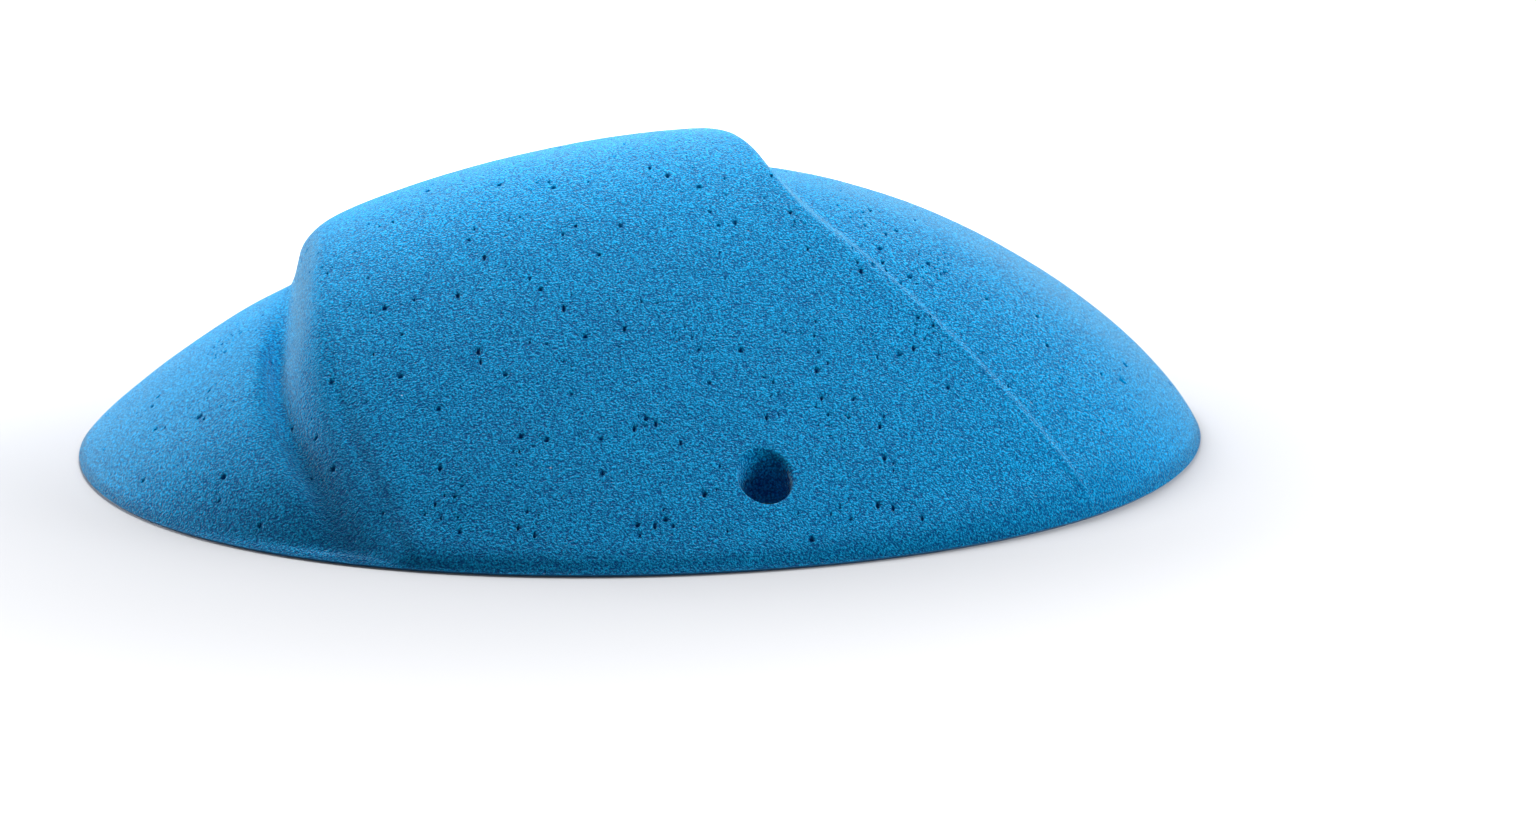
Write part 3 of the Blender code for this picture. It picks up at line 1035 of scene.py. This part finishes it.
    def build(self, outside: bpy.types.Material, back: bpy.types.Material) -> bpy.types.Object:
        """Build the casting and dress it.

        Args:
            outside: Finish of the textured outside.
            back: Finish of the wall side.

        Returns:
            The casting.
        """
        self.pinholes.scatter(self.form, self.fixings)
        outline, mouths = self.build_outside()
        bores = {fixing.side: self.build_bore(fixing, mouths[fixing.side]) for fixing in self.fixings}
        self.build_underside(outline, bores)
        points = np.vstack(self.verts)
        casting = new_piece(self.name, points.tolist(), self.faces, self.sharp_angle, outside, back)
        mesh = casting.data
        mesh.polygons.foreach_set("material_index", np.array(self.backs, dtype=np.int32))
        self.store(mesh, "pit", np.concatenate(self.pit_shares))
        # The crest band's wear and painted highlight, kept for each point for the finish.
        self.store(mesh, "crest", self.form.crest_wear_and_highlight_mask(points[:, 0], points[:, 1]))
        # Painted shade beside the left wall, in the groove, on the rim and low on the front, kept for each
        # point.
        self.store(mesh, "painted_shade_and_grime", self.form.painted_shade_mask(points[:, 0], points[:, 1]))
        mesh.update()
        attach(casting, "root")
        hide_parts(self.node)
        return casting

    def store(self, mesh: bpy.types.Mesh, name: str, values: np.ndarray) -> None:
        """Keep a value for each point of a mesh, under the name that the finish reads."""
        attribute = mesh.attributes.new(name, 'FLOAT', 'POINT')
        attribute.data.foreach_set("value", values.astype(np.float32))


@dataclass
class BoltWasher:
    """A zinc-plated washer, punched from sheet, so that one rim is rounded."""

    fixing: BoltFixing
    punched_rounding: float = 0.0005
    sheared_edge: float = 0.00012
    steps: int = 128
    arc_steps: int = 4
    sharp_angle: float = 40.0

    def profile(self) -> list[tuple[float, float]]:
        """Give the washer's section as radius and height.

        Returns:
            Points round the section, down the outer side first.
        """
        inner, outer = self.fixing.washer_bore / 2.0, self.fixing.washer_diameter / 2.0
        top, large, small = self.fixing.washer_thickness, self.punched_rounding, self.sheared_edge
        section = []
        corners = ((outer - large, top - large, large, 90.0, 0.0),
                   (outer - small, small, small, 0.0, -90.0),
                   (inner + small, small, small, 270.0, 180.0),
                   (inner + large, top - large, large, 180.0, 90.0))
        for radius, height, rounding, start, end in corners:
            for step in range(self.arc_steps + 1):
                turn = math.radians(start + (end - start) * step / self.arc_steps)
                section.append((radius + rounding * math.cos(turn), height + rounding * math.sin(turn)))
        return section

    def build(self, finish: bpy.types.Material) -> bpy.types.Object:
        """Build the washer and dress it.

        Args:
            finish: The zinc plating.

        Returns:
            The washer.
        """
        fixing = self.fixing
        name = fixing.side.value + "_bolt_washer"
        section = self.profile()
        count = len(section)
        verts, faces = [], []
        for step in range(self.steps):
            turn = 2.0 * math.pi * step / self.steps
            here, there = step * count, ((step + 1) % self.steps) * count
            for index, (radius, height) in enumerate(section):
                verts.append((fixing.x + radius * math.cos(turn), fixing.y + radius * math.sin(turn),
                              fixing.seat_height + height))
                after = (index + 1) % count
                faces.append((here + index, here + after, there + after, there + index))
        washer = new_piece(name + "_plated", verts, faces, self.sharp_angle, finish)
        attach(washer, "root")
        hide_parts(name)
        return washer


class NodeSheet:
    """A node tree with short ways to fill it."""

    def __init__(self, tree: bpy.types.NodeTree) -> None:
        """Start from a node tree."""
        self.tree = tree

    def feed(self, target: bpy.types.NodeSocket, value: object) -> None:
        """Give an input a socket to follow or a value of its own.

        Args:
            target: The input.
            value: A socket, a number, a vector, or a colour without its alpha.
        """
        if isinstance(value, bpy.types.NodeSocket):
            self.tree.links.new(value, target)
        elif target.type == 'RGBA':
            target.default_value = (*value, 1.0)
        else:
            target.default_value = value

    def node(self, kind: str, inputs: dict[str | int, object] | None = None,
             **settings: object) -> bpy.types.Node:
        """Add a node.

        Args:
            kind: Type of the node.
            inputs: What each input gets, by the input's name or place.
            **settings: The node's own settings by name.

        Returns:
            The node.
        """
        made = self.tree.nodes.new(kind)
        for name, value in settings.items():
            setattr(made, name, value)
        for name, value in (inputs or {}).items():
            self.feed(made.inputs[name], value)
        return made

    def place(self) -> bpy.types.NodeSocket:
        """Return the place of a surface point in metres."""
        return self.node("ShaderNodeTexCoord").outputs["Object"]

    def number(self, operation: str, first: object, second: object,
               clamp: bool = False) -> bpy.types.NodeSocket:
        """Return a number worked out from two others, each of them a socket or a number."""
        made = self.node("ShaderNodeMath", {0: first, 1: second}, operation=operation, use_clamp=clamp)
        return made.outputs[0]

    def stretch(self, source: bpy.types.NodeSocket, start: float, end: float, low: float = 0.0,
                high: float = 1.0) -> bpy.types.NodeSocket:
        """Return a value mapped from one range to another and kept within the second."""
        made = self.node("ShaderNodeMapRange", {"Value": source, 1: start, 2: end, 3: low, 4: high})
        return made.outputs["Result"]


class ShaderEffect(NodeSheet):
    """A shader node group with named inputs and outputs, shared by several finishes."""

    def __init__(self, name: str, inputs: dict[str, float], outputs: tuple[str, ...]) -> None:
        """Start a group that has its sockets alone.

        Args:
            name: Name of the effect.
            inputs: The value that each input starts with, by its name.
            outputs: Names of the outputs.
        """
        super().__init__(bpy.data.node_groups.new(name, 'ShaderNodeTree'))
        self.inlet = self.tree.nodes.new("NodeGroupInput")
        self.outlet = self.tree.nodes.new("NodeGroupOutput")
        sockets = self.tree.interface
        for socket, value in inputs.items():
            made = sockets.new_socket(name=socket, in_out='INPUT', socket_type='NodeSocketFloat')
            made.default_value = value
        for socket in outputs:
            sockets.new_socket(name=socket, in_out='OUTPUT', socket_type='NodeSocketFloat')


@dataclass(frozen=True)
class CastGrain:
    """The grain that a textured mould leaves, at two scales, with a slow mottle."""

    grain_detail: float = 2.0
    grain_roughness: float = 0.55
    grain_floor: float = 0.28
    grain_gain: float = 2.2
    grain_share: float = 0.68
    peel_smoothness: float = 0.45
    peel_share: float = 0.32
    warp_scale: float = 380.0
    warp_detail: float = 1.0
    warp_reach: float = 0.0011
    mottle_detail: float = 4.0

    def group(self) -> bpy.types.NodeTree:
        """Make the effect.

        Returns:
            A group with Grain Scale, Peel Scale and Mottle Scale in, Height and Mottle out.
        """
        starts = {"Grain Scale": 1300.0, "Peel Scale": 620.0, "Mottle Scale": 55.0}
        effect = ShaderEffect("cast_grain", starts, ("Height", "Mottle"))
        place = effect.place()
        grain = effect.node("ShaderNodeTexNoise", {
            "Vector": place, "Scale": effect.inlet.outputs["Grain Scale"],
            "Detail": self.grain_detail, "Roughness": self.grain_roughness})
        warp = effect.node("ShaderNodeTexNoise", {
            "Vector": place, "Scale": self.warp_scale, "Detail": self.warp_detail})
        bent = effect.node("ShaderNodeVectorMath", {
            0: warp.outputs["Color"], 1: (self.warp_reach,) * 3, 2: place}, operation='MULTIPLY_ADD')
        peel = effect.node("ShaderNodeTexVoronoi", {
            "Vector": bent.outputs["Vector"], "Scale": effect.inlet.outputs["Peel Scale"],
            "Smoothness": self.peel_smoothness}, feature='SMOOTH_F1')
        mottle = effect.node("ShaderNodeTexNoise", {
            "Vector": place, "Scale": effect.inlet.outputs["Mottle Scale"],
            "Detail": self.mottle_detail})
        cells = effect.number('SUBTRACT', 1.0, peel.outputs["Distance"], True)
        raised = effect.number('SUBTRACT', grain.outputs["Fac"], self.grain_floor)
        raised = effect.number('MULTIPLY', raised, self.grain_gain, True)
        height = effect.number('ADD', effect.number('MULTIPLY', raised, self.grain_share),
                               effect.number('MULTIPLY', cells, self.peel_share))
        effect.feed(effect.outlet.inputs["Height"], height)
        effect.feed(effect.outlet.inputs["Mottle"], mottle.outputs["Fac"])
        return effect.tree


@dataclass(frozen=True)
class ScatteredDots:
    """Small round dots on some cells of a random pattern, for pinpricks and dust."""

    least_size: float = 0.45

    def group(self) -> bpy.types.NodeTree:
        """Make the effect.

        Returns:
            A group with Cell Scale, Dot Size and Share in, Mask out.
        """
        starts = {"Cell Scale": 260.0, "Dot Size": 0.12, "Share": 0.1}
        effect = ShaderEffect("scattered_dots", starts, ("Mask",))
        cells = effect.node("ShaderNodeTexVoronoi", {
            "Vector": effect.place(), "Scale": effect.inlet.outputs["Cell Scale"]}, feature='F1')
        colour = effect.node("ShaderNodeSeparateColor", {"Color": cells.outputs["Color"]})
        chosen = effect.number('LESS_THAN', colour.outputs[0], effect.inlet.outputs["Share"])
        size = effect.number('ADD', colour.outputs[1], self.least_size)
        size = effect.number('MULTIPLY', effect.inlet.outputs["Dot Size"], size)
        depth = effect.number('DIVIDE', cells.outputs["Distance"], size)
        depth = effect.number('SUBTRACT', 1.0, depth, True)
        effect.feed(effect.outlet.inputs["Mask"], effect.number('MULTIPLY', chosen, depth))
        return effect.tree


@dataclass(frozen=True)
class Specks:
    """Scattered dots as one finish uses them: cells, size, share of cells, soft edge and cover."""

    cell_scale: float
    dot_size: float
    share: float
    edge: tuple[float, float] = (0.0, 0.5)
    cover: float = 0.8


class FinishSheet(NodeSheet):
    """A material's node tree with its main shader."""

    def __init__(self, name: str) -> None:
        """Start a material.

        Args:
            name: Name of the material.
        """
        self.material = bpy.data.materials.new(name)
        self.material.use_nodes = True
        super().__init__(self.material.node_tree)
        self.shader = self.tree.nodes["Principled BSDF"]

    def fill(self, **values: object) -> None:
        """Fill the main shader's inputs, whose names have underscores for their spaces here."""
        for name, value in values.items():
            self.feed(self.shader.inputs[name.replace("_", " ")], value)

    def grain(self, group: bpy.types.NodeTree, scales: tuple[float, float, float]) -> bpy.types.Node:
        """Place the shared grain with its grain, peel and mottle scales."""
        names = ("Grain Scale", "Peel Scale", "Mottle Scale")
        return self.node("ShaderNodeGroup", node_tree=group, inputs=dict(zip(names, scales)))

    def specks(self, group: bpy.types.NodeTree, specks: Specks) -> bpy.types.Node:
        """Place the shared dots as this finish uses them."""
        return self.node("ShaderNodeGroup", node_tree=group, inputs={
            "Cell Scale": specks.cell_scale, "Dot Size": specks.dot_size, "Share": specks.share})

    def attribute(self, name: str) -> bpy.types.NodeSocket:
        """Return a value that the mesh keeps for each of its points."""
        return self.node("ShaderNodeAttribute", attribute_name=name).outputs["Fac"]

    def tint(self, ground: object, *layers: tuple[bpy.types.NodeSocket, object]) -> bpy.types.NodeSocket:
        """Lay colours over a ground colour, each over what lies before it.

        Args:
            ground: A colour.
            *layers: For each layer, how much of it there is and its colour.

        Returns:
            The mixed colour.
        """
        for share, colour in layers:
            ground = self.node("ShaderNodeMix", {"Factor": share, 6: ground, 7: colour},
                               data_type='RGBA').outputs[2]
        return ground

    def bump(self, height: bpy.types.NodeSocket, distance: float, strength: float,
             below: bpy.types.NodeSocket | None = None) -> bpy.types.NodeSocket:
        """Raise a height out of the surface.

        Args:
            height: Height between 0 and 1.
            distance: Its full height in metres.
            strength: Share of it that shows.
            below: Normal of a coarser bump that it lies on.

        Returns:
            The new normal.
        """
        inputs = {"Strength": strength, "Distance": distance, "Height": height}
        if below:
            inputs["Normal"] = below
        return self.node("ShaderNodeBump", inputs).outputs["Normal"]


@dataclass(frozen=True)
class CastResin:
    """Matt blue polyurethane from a textured mould, for the outside of the hold."""

    name: str = "blue_cast_resin"
    colour: tuple[float, float, float] = (0.002, 0.262, 0.580)
    deep_colour: tuple[float, float, float] = (0.001, 0.235, 0.525)
    hollow_painted_shade_colour: tuple[float, float, float] = (0.000, 0.092, 0.290)
    grit_painted_highlight_colour: tuple[float, float, float] = (0.008, 0.470, 0.920)
    painted_pit_shade_and_mottle_colour: tuple[float, float, float] = (0.001, 0.085, 0.270)
    worn_and_painted_highlight_colour: tuple[float, float, float] = (0.010, 0.360, 0.740)
    painted_shade_and_grime_colour: tuple[float, float, float] = (0.001, 0.060, 0.170)
    dust_colour: tuple[float, float, float] = (0.420, 0.560, 0.700)
    roughness: tuple[float, float] = (0.52, 0.66)
    roughness_mottle: tuple[float, float] = (0.3, 0.7)
    specular: float = 0.01
    sheen: float = 0.42
    sheen_roughness: float = 0.30
    sheen_tint: tuple[float, float, float] = (1.0, 0.95, 0.50)
    grain_scales: tuple[float, float, float] = (1450.0, 900.0, 38.0)
    grain_height: float = 0.00050
    grain_strength: float = 1.0
    mottle_range: tuple[float, float] = (0.35, 0.65)
    hollow_range: tuple[float, float] = (0.28, 0.56)
    hollow_shade: float = 1.0
    grit_range: tuple[float, float] = (0.50, 0.76)
    grit_shine: float = 0.95
    crest_wear_and_highlight: float = 0.15
    pit_range: tuple[float, float] = (0.1, 0.9)
    pit_shade: float = 0.9
    pricks: Specks = Specks(240.0, 0.13, 0.16)
    prick_edge: float = 0.7
    prick_depth: float = 0.0004
    prick_strength: float = 0.8
    dust: Specks = Specks(170.0, 0.07, 0.05, (0.2, 0.6))

    def material(self, grain: bpy.types.NodeTree, dots: bpy.types.NodeTree) -> bpy.types.Material:
        """Make the finish.

        Args:
            grain: The shared cast grain.
            dots: The shared scattered dots.

        Returns:
            The material.
        """
        sheet = FinishSheet(self.name)
        cast = sheet.grain(grain, self.grain_scales)
        pricks, dust = sheet.specks(dots, self.pricks), sheet.specks(dots, self.dust)
        height, mottle = cast.outputs["Height"], cast.outputs["Mottle"]
        colour = sheet.tint(
            self.deep_colour,
            (sheet.stretch(mottle, *self.mottle_range), self.colour),
            # Painted shade in the grain's hollows and, on the next layer, a painted highlight on its
            # peaks.
            (sheet.stretch(height, *self.hollow_range, self.hollow_shade, 0.0), self.hollow_painted_shade_colour),
            (sheet.stretch(height, *self.grit_range, 0.0, self.grit_shine), self.grit_painted_highlight_colour),
            # The crest band is lighter: wear, and a painted highlight along the edge.
            (sheet.stretch(sheet.attribute("crest"), 0.0, 1.0, 0.0, self.crest_wear_and_highlight), self.worn_and_painted_highlight_colour),
            # Painted shade beside and on the panel's left wall, in the groove, on the rim and low on the
            # front.
            (sheet.attribute("painted_shade_and_grime"), self.painted_shade_and_grime_colour),
            # Painted shade in the pinpricks.
            (sheet.stretch(pricks.outputs["Mask"], *self.pricks.edge, 0.0, self.pricks.cover),
             self.painted_pit_shade_and_mottle_colour),
            (sheet.stretch(dust.outputs["Mask"], *self.dust.edge, 0.0, self.dust.cover),
             self.dust_colour),
            # Painted shade in the pinholes and down the bolt bores, darker with depth.
            (sheet.stretch(sheet.attribute("pit"), *self.pit_range, 0.0, self.pit_shade),
             self.painted_pit_shade_and_mottle_colour))
        coarse = sheet.bump(height, self.grain_height, self.grain_strength)
        holes = sheet.stretch(pricks.outputs["Mask"], 0.0, self.prick_edge, 1.0, 0.0)
        sheet.fill(Base_Color=colour,
                   Roughness=sheet.stretch(mottle, *self.roughness_mottle, *self.roughness),
                   Specular_IOR_Level=self.specular, Sheen_Weight=self.sheen,
                   Sheen_Roughness=self.sheen_roughness, Sheen_Tint=self.sheen_tint,
                   Normal=sheet.bump(holes, self.prick_depth, self.prick_strength, coarse))
        return sheet.material


@dataclass(frozen=True)
class OpenCastBack:
    """The wall side, poured in the open: smoother, paler where it was sanded flat."""

    name: str = "blue_resin_back"
    colour: tuple[float, float, float] = (0.012, 0.190, 0.440)
    sanded_colour: tuple[float, float, float] = (0.060, 0.260, 0.500)
    painted_pit_shade_and_mottle_colour: tuple[float, float, float] = (0.003, 0.050, 0.150)
    roughness: tuple[float, float] = (0.38, 0.58)
    roughness_mottle: tuple[float, float] = (0.3, 0.7)
    grain_scales: tuple[float, float, float] = (420.0, 150.0, 24.0)
    grain_height: float = 0.0004
    grain_strength: float = 0.45
    mottle_range: tuple[float, float] = (0.35, 0.65)
    mottle_shade: float = 0.35
    sanded_height: float = 0.0008
    sanded_cover: float = 0.8
    bubbles: Specks = Specks(150.0, 0.16, 0.12)
    bubble_edge: float = 0.7
    bubble_depth: float = 0.0006
    bubble_strength: float = 0.8

    def material(self, grain: bpy.types.NodeTree, dots: bpy.types.NodeTree) -> bpy.types.Material:
        """Make the finish.

        Args:
            grain: The shared cast grain.
            dots: The shared scattered dots.

        Returns:
            The material.
        """
        sheet = FinishSheet(self.name)
        cast = sheet.grain(grain, self.grain_scales)
        bubbles = sheet.specks(dots, self.bubbles)
        height, mottle = cast.outputs["Height"], cast.outputs["Mottle"]
        rise = sheet.node("ShaderNodeSeparateXYZ", {0: sheet.place()}).outputs["Z"]
        colour = sheet.tint(
            self.colour,
            # Random darker mottle, in the same dark blue that is painted as shade in the bubbles.
            (sheet.stretch(mottle, *self.mottle_range, 0.0, self.mottle_shade), self.painted_pit_shade_and_mottle_colour),
            (sheet.stretch(rise, 0.0, self.sanded_height, self.sanded_cover, 0.0), self.sanded_colour),
            # Painted shade in the bubble dimples.
            (sheet.stretch(bubbles.outputs["Mask"], *self.bubbles.edge, 0.0, self.bubbles.cover),
             self.painted_pit_shade_and_mottle_colour))
        coarse = sheet.bump(height, self.grain_height, self.grain_strength)
        holes = sheet.stretch(bubbles.outputs["Mask"], 0.0, self.bubble_edge, 1.0, 0.0)
        sheet.fill(Base_Color=colour,
                   Roughness=sheet.stretch(mottle, *self.roughness_mottle, *self.roughness),
                   Normal=sheet.bump(holes, self.bubble_depth, self.bubble_strength, coarse))
        return sheet.material


@dataclass(frozen=True)
class ZincPlate:
    """Dull zinc plating on punched steel, with fine scuffs and a little grime."""

    name: str = "zinc_plating"
    colour: tuple[float, float, float] = (0.62, 0.63, 0.64)
    dull_colour: tuple[float, float, float] = (0.40, 0.41, 0.43)
    painted_shade_and_grime_colour: tuple[float, float, float] = (0.09, 0.10, 0.12)
    roughness: tuple[float, float] = (0.30, 0.52)
    mottle_range: tuple[float, float] = (0.3, 0.7)
    crystal_scales: tuple[float, float, float] = (2600.0, 900.0, 260.0)
    crystal_height: float = 0.00003
    crystal_strength: float = 0.5
    painted_shade_and_grime: Specks = Specks(700.0, 0.20, 0.15, (0.0, 0.5), 0.7)

    def material(self, grain: bpy.types.NodeTree, dots: bpy.types.NodeTree) -> bpy.types.Material:
        """Make the finish.

        Args:
            grain: The shared cast grain, here the crystals of the plating.
            dots: The shared scattered dots, here specks of grime.

        Returns:
            The material.
        """
        sheet = FinishSheet(self.name)
        plating = sheet.grain(grain, self.crystal_scales)
        height, mottle = plating.outputs["Height"], plating.outputs["Mottle"]
        specks = sheet.specks(dots, self.painted_shade_and_grime).outputs["Mask"]
        colour = sheet.tint(
            self.dull_colour,
            (sheet.stretch(mottle, *self.mottle_range), self.colour),
            (sheet.stretch(specks, *self.painted_shade_and_grime.edge, 0.0, self.painted_shade_and_grime.cover), self.painted_shade_and_grime_colour))
        sheet.fill(Base_Color=colour, Metallic=1.0,
                   Roughness=sheet.stretch(mottle, *self.mottle_range, *self.roughness),
                   Normal=sheet.bump(height, self.crystal_height, self.crystal_strength))
        return sheet.material


@dataclass(frozen=True)
class Lamp:
    """A soft square lamp: bearing anticlockwise from +X and elevation in degrees, size and watts."""

    name: str
    bearing: float
    elevation: float
    distance: float
    size: float
    power: float

    def build(self, target: Vector) -> None:
        """Place the lamp so that it looks at a point, unseen by the camera.

        Args:
            target: The point, which its distance is measured from.
        """
        light = bpy.data.lights.new(self.name, 'AREA')
        light.size = self.size
        light.energy = self.power
        stand = bpy.data.objects.new(self.name, light)
        bpy.context.scene.collection.objects.link(stand)
        turn, rise = math.radians(self.bearing), math.radians(self.elevation)
        away = Vector((math.cos(turn) * math.cos(rise), math.sin(turn) * math.cos(rise), math.sin(rise)))
        stand.location = target + away * self.distance
        stand.rotation_euler = (-away).to_track_quat('-Z', 'Y').to_euler()
        stand.visible_camera = False


@dataclass
class Studio:
    """The plain pale floor, the white surround and the soft lamps.

    One lamp stands low and far behind on the left, and three stand near, above and on the right.
    """

    floor_half: float = 12.0
    floor_colour: tuple[float, float, float] = (0.465, 0.475, 0.500)
    floor_roughness: float = 0.9
    floor_specular: float = 0.1
    glow_from: float = 0.95
    glow_to: float = 2.6
    surround_light: float = 0.02
    shadow_oval: tuple[float, float, float] = (0.200, 0.155, 1.0)
    lit_point: tuple[float, float, float] = (0.0, 0.0, 0.03)
    lamps: tuple[Lamp, ...] = (
        Lamp("left_rear_lamp", 150.0, 11.0, 1.8, 0.70, 38.5),
        Lamp("upper_lamp", 120.0, 60.0, 0.45, 0.25, 3.2),
        Lamp("right_rear_lamp", 60.0, 50.0, 0.50, 0.25, 1.7),
        Lamp("right_lamp", 345.0, 20.0, 0.70, 0.30, 4.2))

    def seen_directly(self, sheet: NodeSheet) -> bpy.types.NodeSocket:
        """Tell which rays show the background itself: camera, glossy and transmission rays.

        Args:
            sheet: Nodes of the floor or the world.

        Returns:
            1 for those rays and 0 for others.
        """
        rays = sheet.node("ShaderNodeLightPath")
        total = rays.outputs["Is Camera Ray"]
        for name in ("Is Glossy Ray", "Is Transmission Ray"):
            total = sheet.number('MAXIMUM', total, rays.outputs[name])
        return total

    def build_floor(self) -> bpy.types.Object:
        """Build the floor, which glows where it is seen away from the hold, so that it shows white.

        Returns:
            The floor.
        """
        sheet = FinishSheet("pale_floor")
        sheet.fill(Base_Color=self.floor_colour, Roughness=self.floor_roughness,
                   Specular_IOR_Level=self.floor_specular)
        oval = sheet.node("ShaderNodeVectorMath", {0: sheet.place(), 1: self.shadow_oval},
                          operation='DIVIDE')
        reach = sheet.node("ShaderNodeVectorMath", {0: oval.outputs["Vector"]}, operation='LENGTH')
        away = sheet.stretch(reach.outputs["Value"], self.glow_from, self.glow_to)
        strength = sheet.number('MULTIPLY', self.seen_directly(sheet), away)
        glow = sheet.node("ShaderNodeEmission", {"Strength": strength})
        both = sheet.node("ShaderNodeAddShader", {0: sheet.shader.outputs[0], 1: glow.outputs[0]})
        sheet.feed(sheet.tree.nodes["Material Output"].inputs["Surface"], both.outputs[0])
        half = self.floor_half
        corners = [(-half, -half, 0.0), (half, -half, 0.0), (half, half, 0.0), (-half, half, 0.0)]
        mesh = bpy.data.meshes.new("studio_floor")
        mesh.from_pydata(corners, [], [(0, 1, 2, 3)])
        mesh.materials.append(sheet.material)
        floor = bpy.data.objects.new("studio_floor", mesh)
        bpy.context.scene.collection.objects.link(floor)
        return floor

    def build_surround(self) -> None:
        """Set the world: white where it is seen, dim where it only lights."""
        world = bpy.data.worlds.new("white_surround")
        bpy.context.scene.world = world
        world.use_nodes = True
        sheet = NodeSheet(world.node_tree)
        level = sheet.stretch(self.seen_directly(sheet), 0.0, 1.0, self.surround_light, 1.0)
        shade = sheet.tree.nodes["Background"]
        sheet.feed(shade.inputs["Color"], (1.0, 1.0, 1.0))
        sheet.feed(shade.inputs["Strength"], level)

    def build_lamps(self) -> None:
        """Place the lamps, which all look at one point."""
        for lamp in self.lamps:
            lamp.build(Vector(self.lit_point))


@dataclass
class PhotoCamera:
    """The camera at the photograph's height and heading, fitted to the hold's outline."""

    elevation: float = 17.0
    heading: float = 6.68
    focal_pixels: float = 4185.2
    image_width: int = 1536
    sensor_width: float = 36.0
    clip_end: float = 100.0
    aside: float = 0.04445
    above: float = 0.0054
    distance: float = 1.5

    def build(self) -> bpy.types.Object:
        """Build the camera and use it.

        Returns:
            The camera.
        """
        tilt, turn = math.radians(self.elevation), math.radians(self.heading)
        ahead = Vector((math.sin(turn) * math.cos(tilt), math.cos(turn) * math.cos(tilt), -math.sin(tilt)))
        right = Vector((math.cos(turn), -math.sin(turn), 0.0))
        up = right.cross(ahead)
        lens = bpy.data.cameras.new("photo_camera")
        lens.sensor_width = self.sensor_width
        lens.lens = self.focal_pixels / self.image_width * self.sensor_width
        lens.clip_end = self.clip_end
        camera = bpy.data.objects.new("photo_camera", lens)
        bpy.context.scene.collection.objects.link(camera)
        pose = Matrix((right, up, -ahead)).transposed().to_4x4()
        pose.translation = right * self.aside + up * self.above - ahead * self.distance
        camera.matrix_world = pose
        bpy.context.scene.camera = camera
        return camera


def main() -> None:
    """Build the hold, its finishes and its studio."""
    logging.basicConfig(level=logging.INFO, format="%(name)s: %(message)s")
    bpy.context.scene.view_settings.view_transform = 'Standard'
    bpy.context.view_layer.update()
    form = HoldForm()
    fixings = [hole.fixing(form) for hole in HOLES]
    grain, dots = CastGrain().group(), ScatteredDots().group()
    finishes = CastResin().material(grain, dots), OpenCastBack().material(grain, dots)
    piece = ResinCasting(form, fixings).build(*finishes)
    LOG.info("%s: %d points, %d faces", piece.name, len(piece.data.vertices), len(piece.data.polygons))
    plating = ZincPlate().material(grain, dots)
    for fixing in fixings:
        washer = BoltWasher(fixing).build(plating)
        LOG.info("%s: %d faces", washer.name, len(washer.data.polygons))
    studio = Studio()
    LOG.info("%s: stage", studio.build_floor().name)
    studio.build_surround()
    studio.build_lamps()
    LOG.info("%s: in place", PhotoCamera().build().name)


if __name__ == "__main__":
    main()
